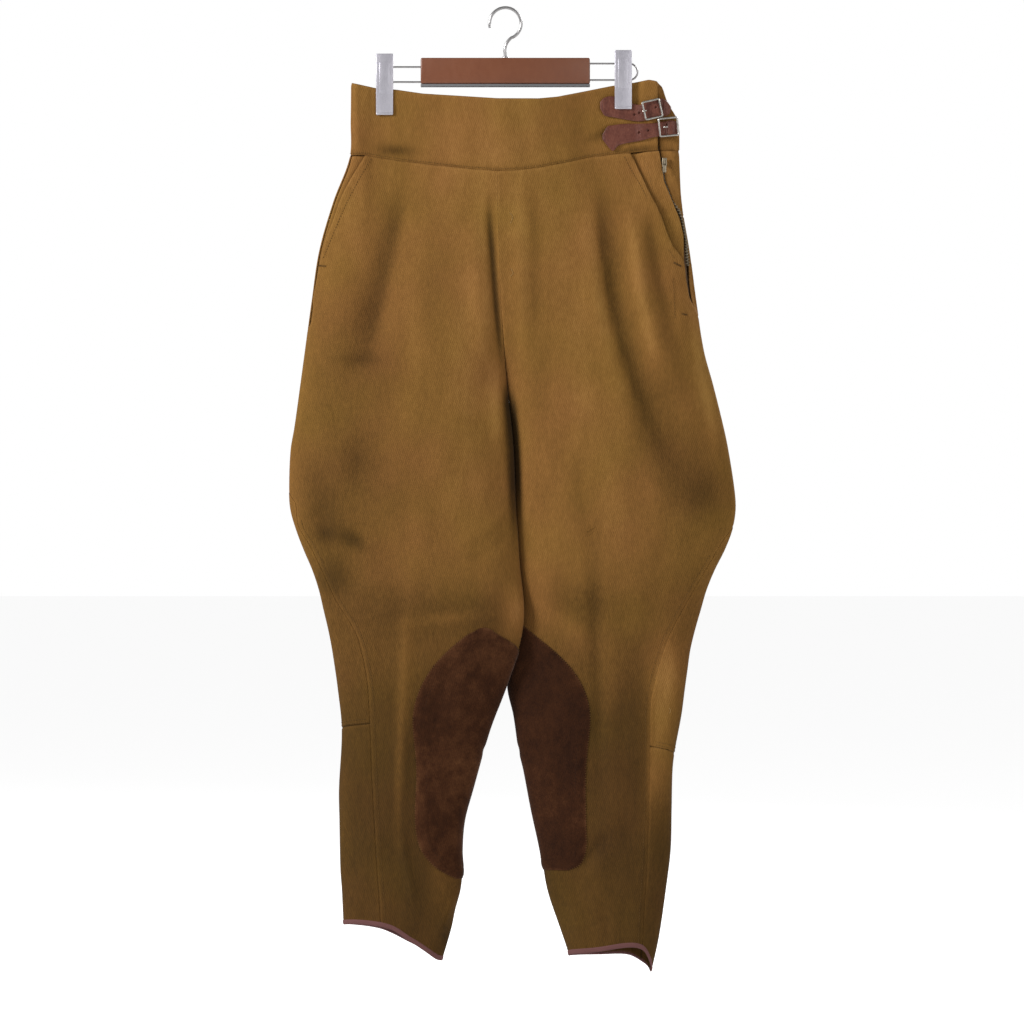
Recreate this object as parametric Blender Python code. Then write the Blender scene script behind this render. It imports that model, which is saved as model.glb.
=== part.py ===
"""Riding jodhpurs of brown twill, clipped by the waistband to a trouser hanger.

Metres, +Z up. The front faces -Y and the origin is the inner crest of the hanger's hook, where a rail
bears. Sizes below are millimetres. "drop" is the distance below the crest, "across" is X, and the wearer's
right leg is the one at negative X. Every cloth piece is a wall between two offsets of one leg surface.
"""

import math
from typing import NamedTuple

import bmesh
import bpy
from mathutils import Matrix, Vector

MM = 0.001
CLOTH = 1.8          # twill wall
SUEDE = 1.2          # knee patch wall
SEAM_GAP = 0.3       # between neighbouring pieces
LAY_GAP = 0.9        # under what lies on a panel, so that facets clear each other
SLIDER_ACROSS, SLIDER_DROP = 167.2, 161.0
# Zip slider: a body and the arch that holds the tab, as opposite corners about the slider's middle.
SLIDER_BLOCKS = [((-2.5, -1.2, -4.2), (2.5, 1.2, 4.2)), ((-0.8, -4.1, 3.0), (0.8, -1.0, 3.8)),
                 ((-0.8, -4.1, -3.0), (0.8, -1.0, -2.2)), ((-0.8, -4.1, -3.0), (0.8, -3.3, 3.8))]
HINGE_FROM_SEAT = (-2.35, 2.2)       # Y and Z of the tab's hinge from the slider's middle
# Pull tab about its hinge: the bar in the arch, two arms and the plate.
TAB_BLOCKS = [((-1.9, -0.5, -0.5), (1.9, 0.5, 0.5)), ((-1.9, -0.5, -6.4), (-1.2, 0.5, 0.5)),
              ((1.2, -0.5, -6.4), (1.9, 0.5, 0.5)), ((-1.9, -0.5, -13.4), (1.9, 0.5, -5.8))]
TAPE_HEIGHT = 5.5    # bound edge at each hem
STRAP = 2.0          # leather strap wall
WIRE = 1.0           # radius of the hanger's wires
HOOK_WIRE = 1.6      # radius of the hook's wire
HOOK_INNER = 15.0    # inner radius of the hook
BAR_HALF = 89.0      # half length of the wooden bar
BAR_TOP, BAR_BOTTOM, BAR_DEPTH = 51.5, 78.6, 12.0
STRIP_HEIGHT = 3.0   # grey strip under the bar
CLIP_RIGHT, CLIP_LEFT = -127.0, 124.0    # across, middle of each clip
CLIP_WIDTH, CLIP_PLATE = 18.0, 1.2
LOOP_ENDS = {"right": 135.0, "left": 139.0}  # how far from the middle each wire loop ends
PINCH = 2.7          # half depth of the waistband inside a clip
MOUTH = 10.5         # how much further the waist opens half way between the clips
PINCH_END, BODY_START = 112.0, 300.0     # drops between which the waist opens into the hips
CROTCH = 396.0
BAND_FRONT_END = 160.5   # across, where the front of the waistband stops
FACING_GAP = 1.2     # between a front panel and the pocket facing under it
FRONT_FACE, BACK_FACE = -1.0, 1.0
BACK_RISE = -2.0     # the back waist sits this much lower than the front


class Row(NamedTuple):
    drop: float
    outer: float
    inner: float
    shift: float


RIGHT_LEG = [
    Row(74, -162, -8.4, 0), Row(118, -163, -8.4, 0), Row(156, -164, -8.4, 0), Row(202, -181, -8, 0),
    Row(254, -196, -6.3, 0), Row(307, -204, -4.7, 0), Row(359, -211, -1, 0), Row(396, -216, 2.3, 0),
    Row(440, -222, 7, -3), Row(464, -226, 9, -3.5), Row(506, -227.5, 10.7, -3.5), Row(527, -226, 11.5, -3.5),
    Row(548, -220, 13.2, -3.7), Row(569, -212, 14.5, -4), Row(590, -203, 16, -4.3), Row(611, -196, 18.5, -6),
    Row(632, -191, 20, -9), Row(653, -186, 18.4, -9.5), Row(674, -182, 13.6, -9), Row(716, -176, -1, -6),
    Row(758, -172, -17, -4), Row(821, -175, -35, -2), Row(853, -174.5, -43.5, -2), Row(884, -174, -46, -2),
    Row(905, -173.5, -45, -2), Row(926, -172, -47, -2), Row(947, -171, -52.5, -2), Row(968, -170, -57, -2),
    Row(1015, -167, -71, -2),
]
LEFT_LEG = [
    Row(74, 164, -8.4, 0), Row(97, 170, -8.4, 0), Row(118, 181, -8.4, 0), Row(156, 183, -8.4, 0),
    Row(202, 185.5, -8, 0), Row(254, 194, -6.3, 0), Row(307, 201, -4.7, 0), Row(359, 209, -1, 0),
    Row(396, 219, 2.3, 0), Row(440, 230, 6, 3), Row(464, 235, 8, 3.5), Row(506, 241.5, 9.7, 3.5),
    Row(527, 242.6, 10.5, 3.5), Row(548, 239, 12, 3.7), Row(569, 231, 13.3, 4), Row(590, 220.5, 14.5, 4.3),
    Row(611, 212, 15, 6), Row(632, 206, 12, 9), Row(653, 200, 8, 9.5), Row(674, 195, 6, 10),
    Row(695, 192, 4, 9), Row(716, 189, 3.5, 6), Row(742, 185.5, 9.5, 3), Row(779, 178.5, 15, 0),
    Row(800, 176, 20, 0), Row(842, 175, 28, 0), Row(884, 174, 37, 0), Row(926, 169, 44, 0),
    Row(968, 163, 58, 0), Row(989, 159, 65, 0), Row(1015, 153, 71, 0),
]


class Depth(NamedTuple):
    drop: float
    front: float
    back: float
    cleft: float


DEPTHS = [
    Depth(74, 12, 12, 0), Depth(156, 16, 18, 0), Depth(202, 20, 24, 0), Depth(254, 24, 29, 0.02),
    Depth(307, 27, 32, 0.08), Depth(340, 28, 33, 0.28), Depth(359, 28, 33, 0.5), Depth(380, 28, 32, 0.82),
    Depth(CROTCH, 27, 31, 1), Depth(464, 27, 29, 1), Depth(527, 27, 28, 1), Depth(590, 26, 26, 1),
    Depth(674, 25, 25, 1), Depth(758, 23, 24, 1), Depth(821, 22, 24, 1), Depth(884, 22, 24, 1),
    Depth(947, 20, 22, 1), Depth(1015, 18, 20, 1),
]


class Fold(NamedTuple):
    leg: int
    face: float
    top: float
    middle: float
    bottom: float
    start: float
    end: float
    width: float
    height: float


RIGHT, LEFT = -1, 1
FOLDS = [
    Fold(RIGHT, FRONT_FACE, -108, -128, -150, 160, 380, 20, -4.5),
    Fold(RIGHT, FRONT_FACE, -152, -178, -190, 200, 420, 16, 3),
    Fold(RIGHT, FRONT_FACE, -60, -62, -66, 190, 520, 30, 2.5),
    Fold(RIGHT, FRONT_FACE, -104, -103, -98, 620, 930, 9, 2.5),
    Fold(LEFT, FRONT_FACE, 104, 122, 196, 165, 530, 20, -5),
    Fold(LEFT, FRONT_FACE, 126, 156, 218, 165, 460, 15, 4),
    Fold(LEFT, FRONT_FACE, 78, 88, 104, 180, 440, 15, 2.5),
    Fold(LEFT, FRONT_FACE, 92, 95, 100, 500, 850, 9, -2.5),
    Fold(RIGHT, BACK_FACE, -96, -118, -150, 165, 430, 22, -5),
    Fold(RIGHT, BACK_FACE, -48, -60, -86, 170, 520, 24, 3.5),
    Fold(RIGHT, BACK_FACE, -90, -96, -104, 560, 900, 14, -3),
    Fold(LEFT, BACK_FACE, 100, 124, 168, 165, 470, 22, -5),
    Fold(LEFT, BACK_FACE, 46, 66, 96, 175, 540, 22, 3.5),
    Fold(LEFT, BACK_FACE, 104, 106, 100, 560, 900, 13, 3),
]

# Straight-line tables of (drop, across) for borders and (across, drop) for edges that run across.
RIGHT_BORDER = [
    (150, -145), (192, -170), (226, -183), (244, -190), (270, -196), (300, -202), (340, -209), (370, -250),
    (498, -250), (512, -224), (544, -217.5), (565, -205), (594, -191), (622, -177.5), (654, -157.5),
    (684, -148.5), (713, -144), (760, -141.5), (814, -139.5), (883, -135.5), (953, -131), (1015, -128),
]
LEFT_BORDER = [
    (150, 131), (188, 149), (213, 161.5), (247, 174.5), (264, 187), (286, 190.5), (312, 196), (323, 202),
    (345, 260), (530, 260), (546, 239), (586, 213), (620, 193), (648, 177.5), (666, 169), (689, 161.5),
    (710, 156.5), (730, 152.5), (811, 151.5), (899, 149), (944, 146), (1015, 143),
]
ZIP_LINE = [
    (135, 157.5), (148, 161.5), (161, 164), (181, 167), (198, 174), (220, 183.5), (238, 188), (256, 189),
    (286, 190),
]
# Where the back panel's folded edge stops behind the zip.
ZIP_BACK = [(150, 171), (181, 173.5), (199, 181), (220, 190), (260, 197), (300, 197), (323, 202)]
BAND_TOP = [
    (-163, 77.5), (-137, 83), (-113, 85), (-87, 89), (-38, 92.5), (-8, 94.5), (35, 94.5), (55, 92.5),
    (87, 86), (111, 81), (135, 77.5), (151, 74.5), (160, 76), (170, 86), (183, 90),
]
BAND_BOTTOM = [
    (-164, 154), (-147, 154), (-128, 157.5), (-107, 160.5), (-71, 165), (-40, 168.5), (-9, 171), (16, 170),
    (35, 167.5), (64, 162), (88, 156.5), (115, 153), (135, 151), (161, 149), (183, 150),
]
# Hem drop round the leg, by turn: 0 inside, 0.25 front, 0.5 outside, 0.75 back.
RIGHT_HEM = [(0, 1001), (0.09, 998), (0.2, 981), (0.27, 967), (0.36, 962), (0.5, 963), (0.6, 964),
             (0.7, 969), (0.8, 984), (0.9, 996), (1, 1001)]
LEFT_HEM = [(0, 996), (0.06, 994), (0.19, 991), (0.31, 986), (0.37, 989), (0.43, 1002), (0.5, 1013),
            (0.61, 1004), (0.69, 996), (0.79, 996), (1, 996)]
# Knee patches: front borders as (drop, across), back borders as (drop, turn), where below 0 is on the back.
RIGHT_PATCH_FRONT = [
    (653, -31), (657, -39), (662, -46), (677, -64), (696, -80), (720, -92), (744, -97.5), (775, -95),
    (803, -93), (840, -95), (865, -94), (885, -89), (899, -78), (908, -64), (914, -52),
]
RIGHT_PATCH_BACK = [
    (653, 0.13), (661, 0.098), (671, 0.04), (676, 0), (684, -0.06), (698, -0.125), (713, -0.16),
    (755, -0.187), (805, -0.184), (860, -0.163), (896, -0.14), (914, -0.07),
]
LEFT_PATCH_FRONT = [
    (647, 18), (651, 22), (667, 42), (680, 58), (692, 69), (712, 82), (740, 89.5), (773, 87), (801, 84.5),
    (857, 85), (886, 85.5), (895, 82), (901, 76), (905, 66),
]
LEFT_PATCH_BACK = [
    (647, -0.02), (652, -0.07), (670, -0.133), (703, -0.175), (745, -0.19), (790, -0.194), (845, -0.186),
    (890, -0.163), (905, -0.09),
]
# Drops at which the leg panels have a row of points, so that neighbours meet.
LEVELS = (185, 215, 245, 272, 300, 330, 360, 396, 430, 464, 490, 507, 526, 544, 565, 592, 622, 654, 684, 698,
          713, 760, 800, 840, 880, 915, 940)
# Straps by station: across, upper edge drop, lower edge drop.
UPPER_STRAP = [(99.5, 98, 105), (104, 93.5, 112), (113, 92, 114), (126, 97, 116.5), (141, 101, 118.5),
               (150, 98, 117), (158, 95, 114.5), (163, 94.5, 113)]
LOWER_STRAP = [(102, 132.5, 137.5), (107, 124, 144), (113, 122.5, 149.5), (119, 121.5, 144),
               (130, 120.8, 141), (142, 120.8, 139), (157, 120.3, 135), (168, 118.8, 133.5)]


def along(table, where):
    """Reads a straight-line table of pairs at one place."""
    if where <= table[0][0]:
        return table[0][1]
    for (a, first), (b, second) in zip(table, table[1:]):
        if where <= b:
            return first + (second - first) * (where - a) / (b - a)
    return table[-1][1]


def smooth_column(rows, field, drop):
    """Reads one column of a table of rows at a drop, on a smooth curve with no overshoot."""
    drop = min(max(drop, rows[0].drop), rows[-1].drop)
    k = next(i for i in range(len(rows) - 1) if drop <= rows[i + 1].drop)

    def slope(i):
        before, after = rows[max(i - 1, 0)], rows[min(i + 1, len(rows) - 1)]
        return (getattr(after, field) - getattr(before, field)) / (after.drop - before.drop)

    a, b = rows[k], rows[k + 1]
    span = b.drop - a.drop
    s = (drop - a.drop) / span
    return ((2 * s**3 - 3 * s**2 + 1) * getattr(a, field) + (s**3 - 2 * s**2 + s) * span * slope(k)
            + (3 * s**2 - 2 * s**3) * getattr(b, field) + (s**3 - s**2) * span * slope(k + 1))


def smoothstep(low, high, value):
    s = min(max((value - low) / (high - low), 0.0), 1.0)
    return s * s * (3 - 2 * s)


def pinch_depth(across):
    """Half depth of the waistband's top: closed in each clip, open between them and at both ends."""
    between = (across - CLIP_RIGHT) / (CLIP_LEFT - CLIP_RIGHT)
    if 0 < between < 1:
        inside = min(max((between - 0.06) / 0.88, 0.0), 1.0)
        return PINCH + MOUTH * math.sin(math.pi * inside) ** 1.5
    beyond = min(abs(across - CLIP_RIGHT), abs(across - CLIP_LEFT))
    return PINCH + 2.6 * smoothstep(10, 24, beyond)


def fold_height(leg, face, across, drop):
    total = 0.0
    for fold in FOLDS:
        if fold.leg != leg or fold.face != face or not fold.start < drop < fold.end:
            continue
        s = (drop - fold.start) / (fold.end - fold.start)
        centre = ((1 - s) * (1 - 2 * s) * fold.top + 4 * s * (1 - s) * fold.middle
                  + s * (2 * s - 1) * fold.bottom)
        fade = smoothstep(0, 0.2, s) * smoothstep(1, 0.7, s)
        total += fold.height * fade * math.exp(-(((across - centre) / fold.width) ** 2))
    return total


def rows_of(leg):
    return RIGHT_LEG if leg == RIGHT else LEFT_LEG


def skin(leg, turn, drop):
    """Outer face of the cloth. A turn is 0 at the centre front or inseam, 0.5 outside and 1 at the back."""
    rows = rows_of(leg)
    outer = smooth_column(rows, "outer", drop)
    inner = smooth_column(rows, "inner", drop) + leg * SEAM_GAP / 2
    cleft = min(max(smooth_column(DEPTHS, "cleft", drop), 0.0), 1.0)
    turn = turn % 1.0 if cleft >= 0.999 else min(max(turn, 0.0), 1.0)
    face = FRONT_FACE if turn <= 0.5 else BACK_FACE
    angle = 2 * math.pi * turn
    share = (1 - math.cos(angle)) / 2
    across = inner + (outer - inner) * share
    tube = abs(math.sin(angle))
    hips = math.sqrt(max(1 - share**2.4, 0.0))
    full = smooth_column(DEPTHS, "front" if face < 0 else "back", drop)
    body = full * ((1 - cleft) * hips + cleft * tube)
    body += fold_height(leg, face, across, drop) * min(1.0, 2.2 * tube)
    end = math.sqrt(max(1 - max((share - 0.95) / 0.05, 0.0) ** 2, 0.0))
    top = pinch_depth(across) * end
    opened = smoothstep(PINCH_END, BODY_START, drop)
    depth = top + (body - top) * opened
    return Vector((across, smooth_column(rows, "shift", drop) + face * depth, -drop))


def offset_skin(leg, turn, drop, out=0.0):
    """The skin moved outwards along its own normal."""
    cleft = smooth_column(DEPTHS, "cleft", drop)
    middle = turn if cleft >= 0.999 else min(max(turn, 0.014), 0.986)
    round_leg = skin(leg, middle + 0.007, drop) - skin(leg, middle - 0.007, drop)
    down_leg = skin(leg, middle, drop + 2) - skin(leg, middle, drop - 2)
    normal = down_leg.cross(round_leg) if leg == LEFT else round_leg.cross(down_leg)
    normal.normalize()
    return skin(leg, turn, drop) + normal * out


def turn_at(leg, across, drop, face=FRONT_FACE):
    """The turn whose skin lies at this place across, on the front or the back."""
    rows = rows_of(leg)
    outer = smooth_column(rows, "outer", drop)
    inner = smooth_column(rows, "inner", drop)
    share = min(max((across - inner) / (outer - inner), 0.0), 1.0)
    turn = math.acos(1 - 2 * share) / (2 * math.pi)
    return turn if face == FRONT_FACE else 1 - turn


def band_edge(table, leg, turn, drop):
    lower = -BACK_RISE * smoothstep(0.55, 0.8, turn)
    return along(table, skin(leg, turn, drop).x) + lower


def hem_drop(leg, turn):
    return along(RIGHT_HEM if leg == RIGHT else LEFT_HEM, turn % 1.0)


def seam_share(leg, turn, drop):
    """Half a seam's gap, as a turn."""
    step = 0.004
    length = (skin(leg, turn + step, drop) - skin(leg, turn - step, drop)).length
    return SEAM_GAP * 2 * step / max(length, 0.2)


def border_turn(leg, drop):
    """Front panel's outer border: pocket edge, then the outside fold, then the outer panel's seam."""
    return turn_at(leg, along(RIGHT_BORDER if leg == RIGHT else LEFT_BORDER, drop), drop)


def back_border_turn(leg, drop):
    """Back panel's outer border: the outside fold, then the outer panel's back seam."""
    if leg == LEFT and drop < 323:
        return turn_at(leg, along(ZIP_BACK, drop), drop)
    return 1 - border_turn(leg, max(drop, 370.0))


def material(name, colour, roughness, metallic):
    made = bpy.data.materials.new(name)
    made.use_nodes = True
    shader = made.node_tree.nodes["Principled BSDF"]
    shader.inputs["Base Color"].default_value = (*colour, 1.0)
    shader.inputs["Roughness"].default_value = roughness
    shader.inputs["Metallic"].default_value = metallic
    made.diffuse_color = (*colour, 1.0)
    return made


FINISHES = {
    "twill": ((0.212, 0.107, 0.029), 0.85, 0.0),
    "suede": ((0.05, 0.02, 0.011), 0.95, 0.0),
    "tape": ((0.14, 0.056, 0.05), 0.8, 0.0),
    "leather": ((0.13, 0.055, 0.042), 0.55, 0.0),
    "steel": ((0.6, 0.57, 0.52), 0.3, 1.0),
    "zip_metal": ((0.25, 0.22, 0.18), 0.4, 1.0),
    "wood": ((0.2, 0.07, 0.035), 0.45, 0.0),
    "strip": ((0.2, 0.2, 0.21), 0.6, 0.0),
    "clip_metal": ((0.45, 0.44, 0.48), 0.35, 0.8),
}


def finish_piece(name, mesh, finish, smooth=True):
    bmesh.ops.recalc_face_normals(mesh, faces=mesh.faces)
    data = bpy.data.meshes.new(name)
    mesh.to_mesh(data)
    mesh.free()
    data.transform(Matrix.Scale(MM, 4))
    colour, roughness, metallic = FINISHES[finish]
    data.materials.append(material(f"{name}_{finish}", colour, roughness, metallic))
    piece = bpy.data.objects.new(name, data)
    bpy.context.scene.collection.objects.link(piece)
    if smooth:
        data.shade_smooth()
        data.set_sharp_from_angle(angle=math.radians(40))
    return piece


def wall(name, place, columns, rows, outside, thickness, finish, ring=False):
    """A wall over place(s, v, out), a grid of columns by rows; a ring joins its last column to its first."""
    mesh = bmesh.new()
    count = columns if ring else columns + 1
    layers = []
    for out in (outside, outside - thickness):
        layers.append([[mesh.verts.new(place(i / columns, j / rows, out)) for i in range(count)]
                       for j in range(rows + 1)])
    outer, inner = layers
    steps = [(i, (i + 1) % count) for i in range(columns)]
    for j in range(rows):
        for a, b in steps:
            mesh.faces.new((outer[j][a], outer[j][b], outer[j + 1][b], outer[j + 1][a]))
            mesh.faces.new((inner[j][a], inner[j + 1][a], inner[j + 1][b], inner[j][b]))
    for j in (0, rows):
        for a, b in steps:
            mesh.faces.new((outer[j][a], inner[j][a], inner[j][b], outer[j][b]))
    if not ring:
        for i in (0, columns):
            for j in range(rows):
                mesh.faces.new((outer[j][i], outer[j + 1][i], inner[j + 1][i], inner[j][i]))
    return finish_piece(name, mesh, finish)


def leg_panel(name, leg, first_turn, last_turn, top, bottom, columns, outside=None):
    """A cloth panel between two borders, each a turn by drop, and two edges, each a drop by turn."""
    outside = outside or (lambda leg_turn, drop: 0.0)

    near = top(0.25, 500), top(0.5, 500), bottom(0.25, 500), bottom(0.5, 500)
    levels = [level for level in LEVELS if max(near[:2]) + 9 < level < min(near[2:]) - 9]
    rows = len(levels) + 1

    def place(s, v, out):
        row = round(v * rows)
        drop = levels[min(max(row - 1, 0), len(levels) - 1)] if levels else top(0.5, 500)
        for _ in range(6):
            turn = first_turn(drop) + (last_turn(drop) - first_turn(drop)) * s
            if row == 0:
                drop = top(turn, drop)
            elif row == rows:
                drop = bottom(turn, drop)
        return offset_skin(leg, turn, drop, out + outside(turn, drop))

    return wall(name, place, columns, rows, 0.0, CLOTH, "twill")


def patch(name, leg, front, back, columns, drops):
    """A suede patch wrapped round the inside of the knee, between a front and a back border."""
    def place(s, v, out):
        drop = drops[round(v * (len(drops) - 1))]
        first, last = along(back, drop), turn_at(leg, along(front, drop), drop)
        return offset_skin(leg, first + (last - first) * s, drop, out)

    return wall(name, place, columns, len(drops) - 1, LAY_GAP + SUEDE, SUEDE, "suede")


def tube(name, points, radius, finish, sides=8):
    """A round rod through points, with flat ends."""
    mesh = bmesh.new()
    loops = []
    for i, point in enumerate(points):
        ahead = (points[min(i + 1, len(points) - 1)] - points[max(i - 1, 0)]).normalized()
        side = ahead.cross(Vector((0, 1, 0))).normalized()
        other = side.cross(ahead)
        loops.append([mesh.verts.new(point + radius * (math.cos(a) * side + math.sin(a) * other))
                      for a in (2 * math.pi * n / sides for n in range(sides))])
    for low, high in zip(loops, loops[1:]):
        for n in range(sides):
            m = (n + 1) % sides
            mesh.faces.new((low[n], low[m], high[m], high[n]))
    mesh.faces.new(loops[0])
    mesh.faces.new(loops[-1])
    return finish_piece(name, mesh, finish)


def box(name, centre, size, finish, turned=Matrix.Identity(4), bevel=0.0):
    mesh = bmesh.new()
    placed = Matrix.Translation(centre) @ turned @ Matrix.Diagonal((*size, 1.0))
    bmesh.ops.create_cube(mesh, size=1.0, matrix=placed)
    if bevel:
        bmesh.ops.bevel(mesh, geom=mesh.edges[:], offset=bevel, segments=1, profile=0.5, affect="EDGES",
                        material=-1)
    return finish_piece(name, mesh, finish, smooth=False)


def build_cloth():
    band_gap = 2 * SEAM_GAP
    hem_gap = TAPE_HEIGHT + 3 * SEAM_GAP
    for leg, side in ((RIGHT, "right"), (LEFT, "left")):
        def top(turn, drop, leg=leg):
            return band_edge(BAND_BOTTOM, leg, turn, drop) + band_gap

        def hem(turn, drop, leg=leg):
            return hem_drop(leg, turn) - hem_gap

        first_drop = 507.0 if leg == RIGHT else 544.0

        def inseam(drop, leg=leg):
            return seam_share(leg, 0.005, drop) if drop > CROTCH else 0.0

        def front_edge(drop, leg=leg, first_drop=first_drop):
            turn = min(border_turn(leg, drop), 0.5 if drop < first_drop else 0.4965)
            return turn - seam_share(leg, turn, drop) if drop > 330 else turn

        def back_edge(drop, leg=leg, first_drop=first_drop):
            turn = max(back_border_turn(leg, drop), 0.0 if drop < first_drop else 0.5035)
            return turn + seam_share(leg, turn, drop)

        leg_panel(f"{side}_front_panel", leg, inseam, front_edge, top, hem, 9)
        leg_panel(f"{side}_back_panel", leg, back_edge, lambda d, f=inseam: 1 - f(d), top, hem, 9)

        cross_seam = 756.0 if leg == RIGHT else 783.0
        slant = 5.0 if leg == RIGHT else 8.0
        def seam_drop(turn, drop, leg=leg, cross_seam=cross_seam, slant=slant):
            away = abs(turn - 0.5) / 0.13
            return cross_seam - (slant if leg == LEFT else slant * 0.9) * away

        def front_seam(drop, leg=leg):
            turn = border_turn(leg, drop)
            return min(turn + seam_share(leg, turn, drop), 0.498)

        def back_seam(drop, leg=leg):
            return 1 - front_seam(drop)

        leg_panel(f"{side}_outer_panel", leg, front_seam, back_seam, lambda t, d, f=first_drop: f,
                  lambda t, d, s=seam_drop: s(t, d) - band_gap / 2, 4)
        leg_panel(f"{side}_calf_panel", leg, front_seam, back_seam,
                  lambda t, d, s=seam_drop: s(t, d) + band_gap / 2, hem, 6)

        def tape_place(s, v, out, leg=leg):
            return offset_skin(leg, s, hem_drop(leg, s) - TAPE_HEIGHT * (1 - v), out)

        wall(f"{side}_hem_tape", tape_place, 30, 1, 0.5, 2.6, "tape", ring=True)
    leg_panel("right_pocket_facing", RIGHT,
              lambda d: turn_at(RIGHT, along(RIGHT_BORDER, min(d, 300)) + 9, d), lambda d: 0.493,
              lambda t, d: band_edge(BAND_BOTTOM, RIGHT, t, d) + band_gap, lambda t, d: 276.0, 3,
              lambda t, d: -(CLOTH + FACING_GAP))

    def left_lift(turn, drop):
        away = skin(LEFT, turn, drop).x - along(LEFT_BORDER, drop)
        return -(CLOTH + FACING_GAP) * (1 - 0.85 * smoothstep(4, 22, away))

    leg_panel("left_pocket_facing", LEFT, lambda d: turn_at(LEFT, along(LEFT_BORDER, d) - 9, d),
              lambda d: turn_at(LEFT, along(ZIP_LINE, d), d),
              lambda t, d: band_edge(BAND_BOTTOM, LEFT, t, d) + band_gap, lambda t, d: 272.0, 4, left_lift)
    patch("right_knee_patch", RIGHT, RIGHT_PATCH_FRONT, RIGHT_PATCH_BACK, 14,
          (653, 657, 663, 669, 676, 680, 684, 688, 692, 698, 713, 760, 800, 840, 880, 898, 908, 914))
    patch("left_knee_patch", LEFT, LEFT_PATCH_FRONT, LEFT_PATCH_BACK, 14,
          (647, 651, 658, 668, 684, 713, 760, 800, 840, 880, 894, 901, 905))


def build_waistband():
    back_end = [(76, 163.7), (97, 166), (118, 168.5), (150, 170)]
    stops = [(LEFT, t) for t in (0.43, 0.385, 0.346, 0.31, 0.26, 0.2, 0.13, 0.06)]
    stops += [(RIGHT, t) for t in (0.0, 0.06, 0.13, 0.2, 0.26, 0.319, 0.363, 0.41, 0.455)]
    stops += [(RIGHT, 1 - t) for _, t in reversed(stops[9:])] + [(RIGHT, 0.5)]
    stops.sort(key=lambda stop: (stop[0] == RIGHT, stop[1] if stop[0] == RIGHT else -stop[1]))
    stops += [(RIGHT, 1.0)] + [(LEFT, 1 - t) for t in (0.06, 0.13, 0.2, 0.26, 0.31, 0.346, 0.4, 0.45, 0.5)]

    def column(index, drop):
        """The leg and turn of one column, from the band's front end round to its back end."""
        if index == 0:
            return LEFT, turn_at(LEFT, BAND_FRONT_END, drop)
        if index > len(stops):
            return LEFT, turn_at(LEFT, along(back_end, drop), drop)
        return stops[index - 1]

    def place(s, v, out):
        drop = 77 + 80 * v
        for _ in range(6):
            leg, turn = column(round(s * (len(stops) + 1)), drop)
            high = band_edge(BAND_TOP, leg, turn, drop)
            drop = high + (band_edge(BAND_BOTTOM, leg, turn, drop) - high) * v
        spot = offset_skin(leg, turn, drop, out)
        if turn in (0.0, 1.0):
            spot.x = smooth_column(RIGHT_LEG, "inner", drop)
        return spot

    wall("waistband", place, len(stops) + 1, 3, 0.0, CLOTH, "twill")


def build_zip():
    deep = -(2 * CLOTH + 2 * LAY_GAP)

    def tape_place(s, v, out):
        drop = 153 + 120 * v
        turn = turn_at(LEFT, along(ZIP_LINE, drop) - 5 + 10 * s, drop)
        return offset_skin(LEFT, turn, drop, out)

    wall("zip_tape", tape_place, 2, 7, deep, 0.8, "tape")
    chain = []
    for j in range(8):
        drop = 172 + 13 * j
        chain.append(offset_skin(LEFT, turn_at(LEFT, along(ZIP_LINE, drop) + 2.6, drop), drop, deep + 1.8))
    tube("zip_chain", chain, 1.1, "zip_metal", 6)
    seat = offset_skin(LEFT, turn_at(LEFT, SLIDER_ACROSS, SLIDER_DROP), SLIDER_DROP, 1.2)
    hinge = seat + Vector((0, *HINGE_FROM_SEAT))
    joined_blocks("zip_slider", seat, SLIDER_BLOCKS)
    joined_blocks("zip_pull_tab", hinge, TAB_BLOCKS)


def joined_blocks(name, origin, blocks):
    """One body from blocks that overlap, each given by opposite corners about an origin."""
    pieces = []
    for number, (low, high) in enumerate(blocks):
        low, high = Vector(low), Vector(high)
        label = name if number == 0 else f"{name}_block_{number}"
        pieces.append(box(label, origin + (low + high) / 2, high - low, "zip_metal"))
    for helper in pieces[1:]:
        helper.hide_render = True
        helper.display_type = "WIRE"
        union = pieces[0].modifiers.new(helper.name, "BOOLEAN")
        union.operation = "UNION"
        union.solver = "EXACT"
        union.object = helper


def strap(name, stations):
    def place(s, v, out):
        position = s * (len(stations) - 1)
        k = min(int(position), len(stations) - 2)
        t = position - k
        across, high, low = (a + (b - a) * t for a, b in zip(stations[k], stations[k + 1]))
        drop = high + (low - high) * v
        return offset_skin(LEFT, turn_at(LEFT, across, drop), drop, out)

    wall(name, place, 2 * (len(stations) - 1), 2, LAY_GAP + STRAP, STRAP, "leather")


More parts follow.
